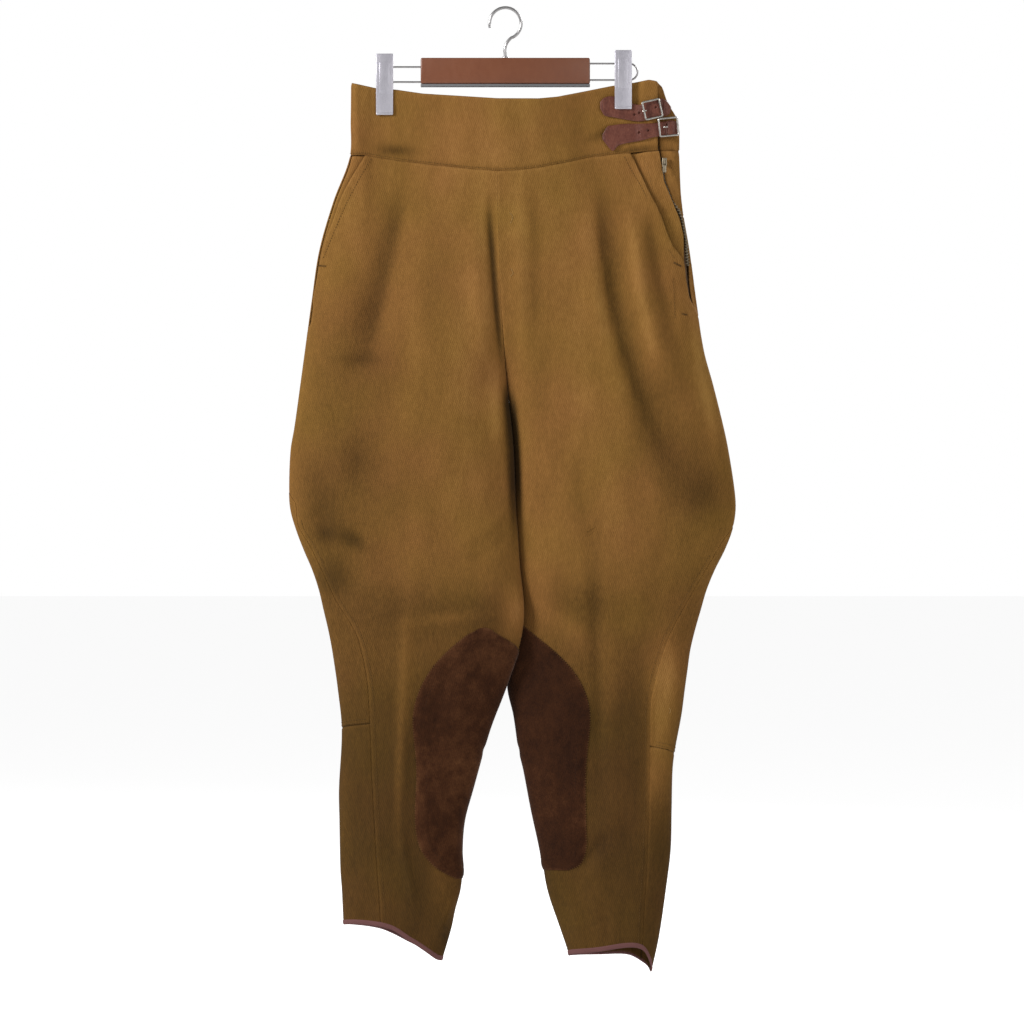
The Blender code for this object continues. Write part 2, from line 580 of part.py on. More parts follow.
def buckle(side, across, drop, wide, tall, lean):
    """A bent-wire frame and its prong, standing on a strap."""
    turned = Matrix.Rotation(math.radians(lean), 4, "Y") @ Matrix.Rotation(math.radians(4), 4, "Z")
    seat = offset_skin(LEFT, turn_at(LEFT, across, drop), drop, 0.0)
    seat.y -= LAY_GAP + STRAP + 2.0
    mesh = bmesh.new()
    corners = [(-1, -1), (1, -1), (1, 1), (-1, 1)]
    loops = []
    for cx, cz in corners:
        for step in (0, 1, 2):
            a = math.atan2(cz, cx) + (step - 1) * math.pi / 4
            round_r = 2.4
            centre = Vector((cx * (wide / 2 - round_r), 0, cz * (tall / 2 - round_r)))
            out = Vector((math.cos(a), 0, math.sin(a)))
            ring = []
            for n in range(6):
                b = math.pi * n / 3
                ring.append(mesh.verts.new(turned @ (centre + out * (round_r + 1.1 * math.cos(b))
                                                     + Vector((0, 1.1 * math.sin(b), 0))) + seat))
            loops.append(ring)
    for low, high in zip(loops, loops[1:] + loops[:1]):
        for n in range(6):
            m = (n + 1) % 6
            mesh.faces.new((low[n], low[m], high[m], high[n]))
    finish_piece(f"{side}_buckle_frame", mesh, "steel")
    reach = wide / 2 + 1.6
    ends = [turned @ Vector((x, -2.3, 0)) + seat for x in (-reach, reach)]
    tube(f"{side}_prong", ends, 0.8, "steel", 6)


def chape(side, stations, lift):
    def place(s, v, out):
        position = s * (len(stations) - 1)
        k = min(int(position), len(stations) - 2)
        t = position - k
        across, high, low = (a + (b - a) * t for a, b in zip(stations[k], stations[k + 1]))
        drop = high + (low - high) * v
        spot = offset_skin(LEFT, turn_at(LEFT, min(across, 400), drop), drop, out)
        return spot

    wall(f"{side}_chape", place, 3, 2, lift + STRAP, STRAP, "leather")


def build_fastenings():
    strap("upper_strap", UPPER_STRAP)
    strap("lower_strap", LOWER_STRAP)
    buckle("upper", 154.5, 106, 17, 18, -17)
    buckle("lower", 171.5, 124.5, 14.5, 18.5, -8)
    chape("upper", [(165.3, 95, 113), (168, 97, 113), (170.3, 101, 112), (172, 105, 111.5)], LAY_GAP)
    chape("lower", [(170.5, 117.5, 133), (174, 117.5, 133), (177.5, 118.5, 132), (180, 121, 130)], LAY_GAP)


def build_hanger():
    mesh = bmesh.new()
    height = BAR_BOTTOM - BAR_TOP
    middle = -(BAR_TOP + BAR_BOTTOM) / 2
    bmesh.ops.create_cube(mesh, size=1.0, matrix=Matrix.Translation((0, 0, middle))
                          @ Matrix.Diagonal((2 * BAR_HALF, BAR_DEPTH, height, 1.0)))
    bmesh.ops.bevel(mesh, geom=mesh.edges[:], offset=1.2, segments=2, profile=0.5, affect="EDGES",
                    material=-1)
    bar = finish_piece("hanger_bar", mesh, "wood", smooth=False)
    cutters = []  # taken from the bar for the wires and the hook
    for x, drop, name in ((RIGHT, (60.9, 76.7), "right"), (LEFT, (57.3, 74.6), "left")):
        far = LOOP_ENDS[name] * x
        radius = (drop[1] - drop[0]) / 2
        bend = far - x * radius
        centre = -(drop[0] + drop[1]) / 2
        start = x * (BAR_HALF - 14)
        points = [Vector((start, 0, -drop[0]))]
        for n in range(9):
            a = math.pi / 2 - math.pi * n / 8
            points.append(Vector((bend + x * radius * math.cos(a), 0, centre + radius * math.sin(a))))
        points.append(Vector((start, 0, -drop[1])))
        tube(f"{name}_wire", points, WIRE, "clip_metal")
        for d in drop:
            hole = bmesh.new()
            bmesh.ops.create_cone(hole, cap_ends=True, segments=12, radius1=WIRE + 0.25, radius2=WIRE + 0.25,
                                  depth=30, matrix=Matrix.Translation((x * BAR_HALF, 0, -d))
                                  @ Matrix.Rotation(math.pi / 2, 4, "Y"))
            cutters.append(finish_piece(f"hole_{name}_{d:.0f}", hole, "wood"))
    socket = bmesh.new()
    bmesh.ops.create_cone(socket, cap_ends=True, segments=16, radius1=HOOK_WIRE + 0.25,
                          radius2=HOOK_WIRE + 0.25, depth=24, matrix=Matrix.Translation((0, 0, -BAR_TOP)))
    cutters.append(finish_piece("hook_socket", socket, "wood"))
    for cutter in cutters:
        cutter.hide_render = True
        cutter.display_type = "WIRE"
        cut = bar.modifiers.new(cutter.name, "BOOLEAN")
        cut.operation = "DIFFERENCE"
        cut.solver = "EXACT"
        cut.object = cutter
    box("hanger_strip", Vector((0, 0, -(BAR_BOTTOM + SEAM_GAP + STRIP_HEIGHT / 2))),
        (2 * BAR_HALF, BAR_DEPTH - 2, STRIP_HEIGHT), "strip", bevel=0.5)
    reach = HOOK_INNER + HOOK_WIRE
    points = [Vector((0, 0, -62)), Vector((0, 0, -(2 * reach + 5))), Vector((2.0, 0, -(2 * reach)))]
    for n in range(17):
        a = math.radians(-66 + 262 * n / 16)
        points.append(Vector((reach * math.cos(a), 0, -HOOK_INNER + reach * math.sin(a))))
    tube("hook", points, HOOK_WIRE, "clip_metal", 10)
    over_strap = STRAP + 2 * SEAM_GAP
    for x, centre, name, front in ((RIGHT, CLIP_RIGHT, "right", 0.0), (LEFT, CLIP_LEFT, "left", over_strap)):
        top = 47.0 if x == RIGHT else 43.5
        low = 111.0 if x == RIGHT else 105.0
        over_wire = 59.4 if x == RIGHT else 55.8
        size = (CLIP_WIDTH, CLIP_PLATE, low - top)
        for face, lift in (("front", front), ("back", 0.0)):
            sign = FRONT_FACE if face == "front" else BACK_FACE
            y = sign * (PINCH + 2.5 * SEAM_GAP + lift + CLIP_PLATE / 2)
            box(f"{name}_clip_{face}", Vector((centre, y, -(top + low) / 2)), size, "clip_metal", bevel=0.35)
        back = PINCH + 1.5 * SEAM_GAP
        box(f"{name}_clip_core", Vector((centre, -front / 2, -(top + 1 + over_wire) / 2)),
            (CLIP_WIDTH - 2, 2 * back + front, over_wire - top - 1), "clip_metal", bevel=0.35)


def clear_scene():
    for thing in list(bpy.data.objects):
        bpy.data.objects.remove(thing, do_unlink=True)


def main():
    clear_scene()
    build_cloth()
    build_waistband()
    build_zip()
    build_fastenings()
    build_hanger()


main()
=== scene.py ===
"""Looks for brown twill riding jodhpurs that hang by the waistband from a trouser hanger.

Sizes are millimetres unless a name says otherwise: "across" is X, "drop" is the distance below the crest of
the hanger's hook, and "out" is the distance in front of the cloth. A "turn" runs round a leg from 0 at the
centre front or inseam, through 0.5 at the outside, to 1 at the centre back. The wearer's right leg is at
negative X. All cloth lies on one surface for each leg, shaped by short tables and by listed folds.
"""

import logging
import math
from collections.abc import Callable, Sequence
from dataclasses import dataclass, field
from enum import Enum

import bmesh
import bpy
import numpy as np
from mathutils import Matrix, Vector

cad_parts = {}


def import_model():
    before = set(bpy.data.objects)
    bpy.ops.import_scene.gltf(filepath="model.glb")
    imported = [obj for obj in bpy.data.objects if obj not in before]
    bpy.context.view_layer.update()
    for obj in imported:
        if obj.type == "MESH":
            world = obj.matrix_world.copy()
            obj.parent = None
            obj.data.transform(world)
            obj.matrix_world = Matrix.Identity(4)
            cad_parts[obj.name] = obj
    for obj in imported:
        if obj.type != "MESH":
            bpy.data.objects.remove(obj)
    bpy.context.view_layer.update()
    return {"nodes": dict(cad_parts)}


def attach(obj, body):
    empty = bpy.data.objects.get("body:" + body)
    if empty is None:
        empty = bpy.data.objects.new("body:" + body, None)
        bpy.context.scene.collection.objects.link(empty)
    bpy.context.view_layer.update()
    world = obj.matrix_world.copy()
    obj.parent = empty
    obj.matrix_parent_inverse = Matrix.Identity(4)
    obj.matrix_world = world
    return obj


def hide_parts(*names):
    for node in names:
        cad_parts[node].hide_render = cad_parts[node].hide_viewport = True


LOG = logging.getLogger("jodhpurs")
MM = 0.001
CLOTH = 1.8
SUEDE = 1.2
STRAP = 2.0
TAPE_HEIGHT = 5.5
BODY = "garment_on_hanger"
TAB_BODY = "pull_tab"
Array = np.ndarray


class Leg(Enum):
    """The wearer's legs, valued by the side of X = 0 that they are on."""

    RIGHT = -1
    LEFT = 1


class Face(Enum):
    """Front and back of the garment, valued by their sign along Y."""

    FRONT = -1
    BACK = 1


def smoothstep(low: float, high: float, value: Array) -> Array:
    """Eases from 0 at low to 1 at high."""
    s = np.clip((value - low) / (high - low), 0.0, 1.0)
    return s * s * (3 - 2 * s)


def linear(red: int, green: int, blue: int) -> tuple[float, float, float, float]:
    """Turns a colour as seen on a screen into the renderer's linear colour.

    Args:
        red: Red from 0 to 255.
        green: Green from 0 to 255.
        blue: Blue from 0 to 255.

    Returns:
        Linear red, green, blue and an alpha of 1.
    """
    parts = [v / 255 / 12.92 if v <= 10 else ((v / 255 + 0.055) / 1.055) ** 2.4 for v in (red, green, blue)]
    return (*parts, 1.0)


@dataclass(frozen=True)
class Curve:
    """A smooth curve through a short table of (place, value) rows."""

    rows: Sequence[tuple[float, float]]

    def at(self, where: Array) -> Array:
        """Reads the curve.

        Args:
            where: Places to read, kept inside the table's ends.

        Returns:
            One value for each place.
        """
        x, y = (np.array(column, float) for column in zip(*self.rows))
        slope = np.empty_like(y)
        slope[1:-1] = (y[2:] - y[:-2]) / (x[2:] - x[:-2])
        slope[0], slope[-1] = (y[1] - y[0]) / (x[1] - x[0]), (y[-1] - y[-2]) / (x[-1] - x[-2])
        where = np.clip(np.asarray(where, float), x[0], x[-1])
        k = np.clip(np.searchsorted(x, where, side="right") - 1, 0, len(x) - 2)
        span = x[k + 1] - x[k]
        s = (where - x[k]) / span
        return ((2 * s**3 - 3 * s**2 + 1) * y[k] + (s**3 - 2 * s**2 + s) * span * slope[k]
                + (3 * s**2 - 2 * s**3) * y[k + 1] + (s**3 - s**2) * span * slope[k + 1])

    def straight(self, where: Array) -> Array:
        """Reads the table with straight lines between its rows."""
        x, y = zip(*self.rows)
        return np.interp(where, x, y)

    def soft(self, where: Array, width: float) -> Array:
        """Reads the curve's mean over a width on both sides of each place."""
        return sum(self.at(where + step) for step in np.linspace(-width, width, 9)) / 9


def near_line(ends: tuple[tuple[float, float], ...], across: Array, drop: Array) -> tuple[Array, Array, Array]:
    """Finds where points lie beside a curve through three places.

    Args:
        ends: The curve's start, middle and end as (across, drop).
        across: X of each point.
        drop: Distance of each point below the crest.

    Returns:
        Each point's distance, its step from 0 to 1 along the curve, and the side that it lies on.
    """
    best = np.full(across.shape, 1e9)
    along, side = np.zeros(across.shape), np.zeros(across.shape)
    steps = np.linspace(0, 1, 17)
    weights = ((1 - steps) * (1 - 2 * steps), 4 * steps * (1 - steps), steps * (2 * steps - 1))
    line = [sum(w * p[i] for w, p in zip(weights, ends)) for i in (0, 1)]
    for k in range(len(steps) - 1):
        dx, dz = line[0][k + 1] - line[0][k], line[1][k + 1] - line[1][k]
        x, z = across - line[0][k], drop - line[1][k]
        length = math.hypot(dx, dz)
        share = np.clip((x * dx + z * dz) / length**2, 0, 1)
        gap = np.hypot(x - share * dx, z - share * dz)
        closer = gap < best
        best[closer], along[closer] = gap[closer], ((k + share) / (len(steps) - 1))[closer]
        side[closer] = ((x * dz - z * dx) / length)[closer]
    return best, along, side


@dataclass(frozen=True)
class Fold:
    """A soft ridge, or a trough where its height is below 0, that runs through three places."""

    leg: Leg
    face: Face
    start: tuple[float, float]
    middle: tuple[float, float]
    end: tuple[float, float]
    width: float
    height: float

    def rise(self, across: Array, drop: Array) -> Array:
        """Height of the fold above the plain cloth.

        Args:
            across: X of each point.
            drop: Distance of each point below the crest.

        Returns:
            The height at each point, in millimetres.
        """
        gap, along, _ = near_line((self.start, self.middle, self.end), across, drop)
        fade = smoothstep(0, 0.22, along) * smoothstep(1, 0.72, along)
        return self.height * fade * np.exp(-((gap / self.width) ** 2))


def fold_list() -> list[Fold]:
    """Every fold and crease, from the longest to the smallest.

    Returns:
        The folds of both legs, front and back.
    """
    right, left, front, back = Leg.RIGHT, Leg.LEFT, Face.FRONT, Face.BACK
    rows = [
        # leg, face, start, middle, end, width, height
        (right, front, (-104, 160), (-127, 280), (-154, 400), 17, -5.0),
        (right, front, (-17, 195), (-11, 290), (-3, 400), 5, -4.2),
        (right, front, (-34, 200), (-28, 300), (-20, 400), 9, 1.6),
        (right, front, (-152, 200), (-178, 310), (-190, 420), 16, 3.0),
        (right, front, (-60, 190), (-62, 355), (-66, 520), 30, 2.5),
        (right, front, (-102, 620), (-106, 740), (-109, 880), 7, 2.6),
        (right, front, (-109, 860), (-103, 902), (-93, 945), 5, 1.8),
        (left, front, (108, 165), (125, 335), (190, 500), 14, -5.0),
        (left, front, (130, 170), (148, 305), (200, 440), 11, 3.8),
        (left, front, (152, 200), (164, 290), (190, 370), 8, -2.4),
        (left, front, (86, 170), (98, 320), (140, 470), 11, 2.8),
        (left, front, (74, 430), (94, 640), (100, 860), 6, -2.6),
        (left, front, (110, 640), (113, 760), (112, 900), 16, 1.6),
        (left, front, (29, 180), (33, 270), (36, 370), 16, -1.8),
        (left, front, (12, 190), (17, 290), (22, 420), 9, 1.8),
        (left, front, (40, 540), (42, 600), (38, 660), 18, 2.0),
        (left, front, (58, 350), (51, 390), (48, 430), 2.6, 0.7),
        (left, front, (160, 395), (176, 430), (188, 478), 10, -1.6),
        (left, front, (128, 545), (146, 562), (160, 590), 5, 1.0),
        (left, front, (80, 905), (94, 885), (114, 858), 7, -2.4),
        (left, front, (98, 930), (106, 960), (107, 985), 5, -1.6),
        (left, front, (60, 925), (72, 950), (80, 985), 7, 1.8),
        (right, front, (-168, 374), (-153, 370), (-136, 366), 4, -1.3),
        (right, front, (-54, 365), (-36, 372), (-14, 394), 2.6, 0.8),
        (right, front, (-26, 427), (-14, 430), (0, 436), 2.4, 0.8),
        (right, front, (-52, 561), (-22, 548), (6, 522), 4.5, 1.7),
        (right, front, (-42, 576), (-14, 568), (8, 545), 3.5, -1.4),
        (right, front, (-168, 624), (-150, 612), (-128, 599), 3.4, 1.2),
        (right, front, (-158, 645), (-130, 634), (-102, 624), 3.4, 1.3),
        (right, front, (-150, 641), (-89, 645), (-28, 650), 2.8, 1.0),
        (right, front, (-176, 552), (-160, 562), (-148, 546), 6, -1.8),
        (right, front, (-196, 520), (-188, 545), (-178, 575), 7, -1.6),
        (right, front, (-160, 445), (-155, 475), (-150, 505), 10, -1.8),
        (right, front, (-50, 925), (-62, 955), (-76, 985), 4.5, 2.2),
        (right, front, (-150, 860), (-152, 900), (-150, 945), 9, 1.3),
        (right, back, (-96, 165), (-118, 300), (-150, 430), 22, -5.0),
        (right, back, (-48, 170), (-60, 345), (-86, 520), 24, 3.5),
        (right, back, (-90, 560), (-96, 730), (-104, 900), 12, -3.0),
        (right, back, (-180, 470), (-150, 520), (-130, 590), 12, -2.4),
        (right, back, (-60, 600), (-90, 640), (-130, 660), 6, 1.6),
        (right, back, (-20, 380), (-50, 410), (-90, 420), 8, -2.0),
        (right, back, (-16, 430), (-46, 470), (-82, 486), 7, 1.8),
        (right, back, (-60, 840), (-96, 852), (-140, 846), 5, -1.4),
        (right, back, (-140, 240), (-152, 320), (-176, 420), 12, 2.4),
        (left, back, (100, 165), (124, 317), (168, 470), 22, -5.0),
        (left, back, (46, 175), (66, 357), (96, 540), 22, 3.5),
        (left, back, (104, 560), (106, 730), (100, 900), 12, 3.0),
        (left, back, (200, 470), (170, 530), (150, 600), 12, -2.4),
        (left, back, (30, 384), (60, 412), (96, 424), 8, -2.0),
        (left, back, (24, 440), (52, 478), (92, 492), 7, 1.8),
        (left, back, (60, 640), (90, 655), (130, 650), 5, 1.4),
        (left, back, (70, 850), (110, 862), (150, 856), 5, -1.4),
        (left, back, (146, 235), (158, 320), (184, 420), 12, 2.4),
    ]
    return [Fold(*row) for row in rows]


@dataclass(frozen=True)
class Mark:
    """A soft patch painted darker or paler, used for stains and for painted shade and highlight: an oval that
    leans clockwise by some degrees.
    """

    leg: Leg
    face: Face
    across: float
    drop: float
    half_wide: float
    half_tall: float
    lean: float
    strength: float

    def tone(self, across: Array, drop: Array) -> Array:
        """The change of tone at each point, below 0 where it is darker."""
        turn = math.radians(self.lean)
        x, z = across - self.across, drop - self.drop
        u = (x * math.cos(turn) + z * math.sin(turn)) / self.half_wide
        v = (z * math.cos(turn) - x * math.sin(turn)) / self.half_tall
        return 0.85 * self.strength * np.exp(-(u * u + v * v) * 1.2)


@dataclass(frozen=True)
class Stroke:
    """A long band painted darker or paler through three places, with its own width on each side; most are
    painted shade and painted highlight beside folds.
    """

    leg: Leg
    face: Face
    start: tuple[float, float]
    middle: tuple[float, float]
    end: tuple[float, float]
    low_side: float
    high_side: float
    strength: float

    def tone(self, across: Array, drop: Array) -> Array:
        """The change of tone at each point, below 0 where it is darker."""
        gap, along, side = near_line((self.start, self.middle, self.end), across, drop)
        width = self.low_side + (self.high_side - self.low_side) * smoothstep(-2, 2, side)
        fade = smoothstep(0, 0.3, along) * smoothstep(1, 0.6, along)
        return self.strength * fade * np.exp(-((gap / width) ** 2))


def stroke_list() -> list[Stroke]:
    """Long bands of painted shade and painted highlight, most of them beside a fold.

    Returns:
        The strokes of both legs, front and back.
    """
    right, left, front, back = Leg.RIGHT, Leg.LEFT, Face.FRONT, Face.BACK
    rows = [
        # Darker rows beside a fold paint shade into its trough and paler rows paint highlight onto its ridge.
        # leg, face, start, middle, end, width towards low X, width towards high X, strength
        (right, front, (-104, 165), (-128, 285), (-158, 405), 16, 7, -0.18),
        (right, front, (-19, 182), (-11, 295), (-1, 405), 3, 4, -0.42),
        # Painted shadow in the cleft between the legs.
        (right, front, (0, 385), (6, 460), (11, 590), 5, 9, -0.6),
        (right, front, (-86, 200), (-94, 300), (-100, 420), 8, 8, 0.05),
        # Painted shadow in the cleft between the legs.
        (left, front, (5, 390), (12, 465), (15, 570), 8, 3.5, -0.55),
        (left, front, (99, 150), (113, 325), (176, 490), 3, 17, -0.22),
        (left, front, (90, 170), (102, 320), (142, 460), 8, 4, 0.08),
        (left, front, (129, 190), (142, 300), (166, 400), 7, 7, 0.13),
        (left, front, (150, 205), (157, 275), (178, 355), 5, 10, -0.13),
        (left, front, (26, 175), (30, 260), (30, 380), 5, 6, -0.10),
        (left, front, (164, 640), (160, 760), (150, 890), 12, 26, 0.36),
        (right, back, (-96, 165), (-118, 300), (-150, 430), 14, 6, -0.12),
        (right, back, (-30, 200), (-36, 330), (-50, 450), 6, 8, 0.08),
        # Painted shadow in the cleft between the legs, at the back.
        (right, back, (-4, 250), (2, 400), (10, 560), 5, 9, -0.6),
        (left, back, (98, 160), (122, 317), (168, 470), 4, 15, -0.14),
        (left, back, (130, 190), (146, 300), (172, 410), 7, 7, 0.12),
        # Painted shadow in the cleft between the legs, at the back.
        (left, back, (4, 260), (12, 400), (15, 560), 8, 4, -0.6),
    ]
    return [Stroke(*row) for row in rows]


def mark_list() -> list[Mark]:
    """Wear and stains of the twill, and painted shade and highlight along its folds, that lie at known places.

    Returns:
        The marks of both legs, front and back.
    """
    right, left, front, back = Leg.RIGHT, Leg.LEFT, Face.FRONT, Face.BACK
    rows = [
        # Many rows lie along folds: the darker of these paint shade into the troughs and the paler paint
        # highlight onto the ridges.
        # leg, face, across, drop, half width, half height, lean, strength
        (right, front, -150, 370, 22, 9, 0, -0.12),
        (right, front, -156, 476, 18, 30, 0, -0.16),
        (right, front, -160, 558, 17, 9, 35, -0.30),
        (right, front, -190, 552, 13, 8, -10, -0.18),
        (right, front, -150, 500, 60, 110, 0, -0.13),
        (right, front, -176, 235, 16, 60, 12, 0.08),
        (right, front, -30, 250, 30, 90, 0, 0.06),
        (right, front, 10, 632, 12, 26, 0, 0.28),
        (right, front, -40, 600, 60, 24, 0, 0.02),
        (right, front, -104, 700, 8, 90, 2, 0.13),
        (right, front, -60, 640, 60, 7, -6, 0.10),
        (right, front, -62, 975, 12, 26, -25, -0.12),
        (left, front, 158, 455, 22, 70, -26, -0.17),
        (left, front, 207, 510, 24, 30, 0, -0.22),
        (left, front, 190, 475, 46, 60, 0, -0.12),
        (left, front, 212, 415, 14, 44, -24, 0.12),
        (left, front, 40, 560, 34, 90, 0, 0.06),
        (left, front, 94, 620, 7, 120, -1, -0.13),
        (left, front, 108, 700, 10, 70, 0, 0.08),
        (left, front, 60, 645, 40, 12, 40, 0.12),
        (left, front, 92, 885, 24, 12, -40, -0.14),
        (right, front, -172, 355, 34, 90, 6, -0.12),
        (right, front, -80, 290, 40, 80, 0, -0.10),
        (right, front, -105, 632, 100, 34, -4, -0.15),
        (right, front, -22, 640, 22, 26, 0, -0.14),
        (right, front, -112, 800, 5, 90, 1, 0.14),
        (right, front, -66, 915, 15, 42, -10, 0.14),
        (left, front, 16, 250, 11, 110, 0, 0.12),
        (right, front, -192, 530, 24, 70, -10, -0.22),
        (right, front, -180, 600, 24, 20, 20, -0.22),
        (right, front, -130, 375, 26, 70, 4, -0.10),
        (right, front, -12, 420, 10, 60, -3, 0.14),
        (left, front, 206, 380, 6, 60, -10, 0.20),
        (left, front, 165, 395, 22, 34, -20, -0.10),
        (left, front, 84, 625, 32, 22, 0, -0.13),
        (left, front, 172, 680, 16, 50, 0, 0.08),
        (right, back, -150, 480, 60, 90, 0, -0.14),
        (right, back, -60, 250, 46, 60, 0, 0.05),
        (left, back, 160, 500, 60, 90, 0, -0.14),
        (left, back, 60, 430, 40, 60, 0, -0.07),
    ]
    return [Mark(*row) for row in rows]


# Painted shade: the twill is painted darker down the legs, for the light that falls off towards the hem.
PAINTED_SHADE_BY_DROP = Curve([(150, 0.0), (420, 0.0), (560, -0.03), (640, -0.12), (700, -0.23), (760, -0.34),
                      (870, -0.36), (960, -0.33), (1015, -0.37)])


@dataclass(frozen=True)
class LegSurface:
    """The outer face of one leg of the jodhpurs, from the waistband's top to the hem."""

    leg: Leg
    outer: Curve
    inner: Curve
    shift: Curve
    hem: Curve
    border: Curve
    silhouette_from: float
    silhouette_to: float
    folds: list[Fold]
    marks: list[Mark | Stroke]
    front_depth: Curve = Curve([(74, 12), (156, 16), (202, 20), (254, 24), (307, 27), (340, 28), (380, 28),
                                (396, 27), (527, 27), (590, 26), (674, 25), (758, 23), (884, 22), (947, 20),
                                (1015, 18)])
    back_depth: Curve = Curve([(74, 12), (156, 18), (202, 24), (254, 29), (307, 32), (340, 33), (380, 32),
                               (396, 31), (464, 29), (527, 28), (590, 26), (674, 25), (758, 24), (884, 24),
                               (947, 22), (1015, 20)])
    cleft: Curve = Curve([(74, 0), (202, 0), (254, 0.02), (307, 0.08), (340, 0.28), (359, 0.5), (380, 0.82),
                          (396, 1), (420, 1), (1015, 1)])
    clips: tuple[float, float] = (-127.0, 124.0)
    pinch: float = 2.7
    mouth: float = 10.5
    seam_gap: float = 0.0

    def pinch_depth(self, across: Array) -> Array:
        """Half depth of the waistband's top: closed in each clip and open between them."""
        first, last = self.clips
        between = (across - first) / (last - first)
        inside = np.clip((between - 0.06) / 0.88, 0, 1)
        beyond = np.minimum(abs(across - first), abs(across - last))
        middle = self.pinch + self.mouth * np.sin(math.pi * inside) ** 1.5
        return np.where((between > 0) & (between < 1), middle, self.pinch + 2.6 * smoothstep(10, 24, beyond))

    def ripple(self, across: Array, drop: Array) -> Array:
        """Small uneven waves of the cloth, a fraction of a millimetre high."""
        start = 2.0 * self.leg.value
        total = np.zeros_like(across)
        for x, z, height in ((0.11, 0.017, 0.35), (-0.063, 0.051, 0.35), (0.17, -0.06, 0.2),
                             (0.045, 0.12, 0.22), (-0.21, -0.035, 0.14)):
            bend = 1.3 * np.sin(0.023 * drop + 0.031 * across + start)
            total = total + height * np.sin(x * across + z * drop + bend + start * 3.1)
            start += 1.7
        gathers = 0.4 * np.sin(0.3 * across + 1.5 * np.sin(0.07 * across)) * smoothstep(225, 172, drop)
        return (total + gathers) * smoothstep(152, 176, drop)

    def skin(self, turn: Array, drop: Array) -> Array:
        """Points of the surface.

        Args:
            turn: Turn of each point.
            drop: Drop of each point.

        Returns:
            An array of X, Y and Z for each point, in millimetres.
        """
        outer = self.outer.at(drop)
        inner = self.inner.at(drop) + self.leg.value * self.seam_gap / 2
        cleft = np.clip(self.cleft.at(drop), 0, 1)
        turn = np.where(cleft >= 0.999, np.mod(turn, 1.0), np.clip(turn, 0.0, 1.0))
        front = turn <= 0.5
        share = (1 - np.cos(2 * math.pi * turn)) / 2
        across = inner + (outer - inner) * share
        tube = abs(np.sin(2 * math.pi * turn))
        hips = np.sqrt(np.maximum(1 - share**2.4, 0))
        full = np.where(front, self.front_depth.at(drop), self.back_depth.at(drop))
        body = full * ((1 - cleft) * hips + cleft * tube)
        rise = np.zeros_like(body)
        for fold in self.folds:
            here = front if fold.face is Face.FRONT else ~front
            if here.any():
                rise[here] += fold.rise(across[here], drop[here])
        body = body + (rise + self.ripple(across, drop)) * np.minimum(1, 2.2 * tube)
        end = np.sqrt(np.maximum(1 - np.maximum((share - 0.95) / 0.05, 0) ** 2, 0))
        top = self.pinch_depth(across) * end
        depth = top + (body - top) * smoothstep(112, 300, drop)
        return np.stack([across, self.shift.at(drop) + np.where(front, -1, 1) * depth, -drop], axis=-1)

    def place(self, turn: Array, drop: Array, out: Array | float = 0.0) -> Array:
        """Points of the surface, moved out along its own normal.

        Args:
            turn: Turn of each point.
            drop: Drop of each point.
            out: Distance outwards, in millimetres.

        Returns:
            An array of X, Y and Z for each point, in millimetres.
        """
        turn, drop = np.broadcast_arrays(np.asarray(turn, float), np.asarray(drop, float))
        middle = np.where(self.cleft.at(drop) >= 0.999, turn, np.clip(turn, 0.014, 0.986))
        round_leg = self.skin(middle + 0.006, drop) - self.skin(middle - 0.006, drop)
        down_leg = self.skin(middle, drop + 1.5) - self.skin(middle, drop - 1.5)
        normal = np.cross(down_leg, round_leg) * self.leg.value
        normal /= np.maximum(np.linalg.norm(normal, axis=-1, keepdims=True), 1e-9)
        return self.skin(turn, drop) + normal * np.asarray(out)[..., None]

    def turn_at(self, across: Array, drop: Array, face: Face = Face.FRONT) -> Array:
        """The turn whose point lies at this place across.

        Args:
            across: X of each point.
            drop: Drop of each point.
            face: Front or back of the garment.

        Returns:
            One turn for each point.
        """
        outer, inner = self.outer.at(drop), self.inner.at(drop)
        share = np.clip((across - inner) / (outer - inner), 0, 1)
        turn = np.arccos(1 - 2 * share) / (2 * math.pi)
        return turn if face is Face.FRONT else 1 - turn

    def border_turn(self, drop: Array) -> Array:
        """Front panel's outer border: pocket edge, outside fold, then the outer panel's seam."""
        turn = self.turn_at(self.border.at(drop), drop)
        share = (smoothstep(self.silhouette_from - 28, self.silhouette_from + 4, drop)
                 * smoothstep(self.silhouette_to + 14, self.silhouette_to - 8, drop))
        return turn + (0.5 - turn) * share

    def tone(self, turn: Array, drop: Array) -> Array:
        """How dark or pale the twill is painted at each point: the painted shade down the legs, then the marks
        and strokes.
        """
        across = self.skin(turn, drop)[..., 0]
        total = PAINTED_SHADE_BY_DROP.at(drop)
        for mark in self.marks:
            near = mark.tone(across, drop)
            total = total + near * (smoothstep(0.56, 0.44, turn) if mark.face is Face.FRONT
                                    else smoothstep(0.44, 0.56, turn))
        return total


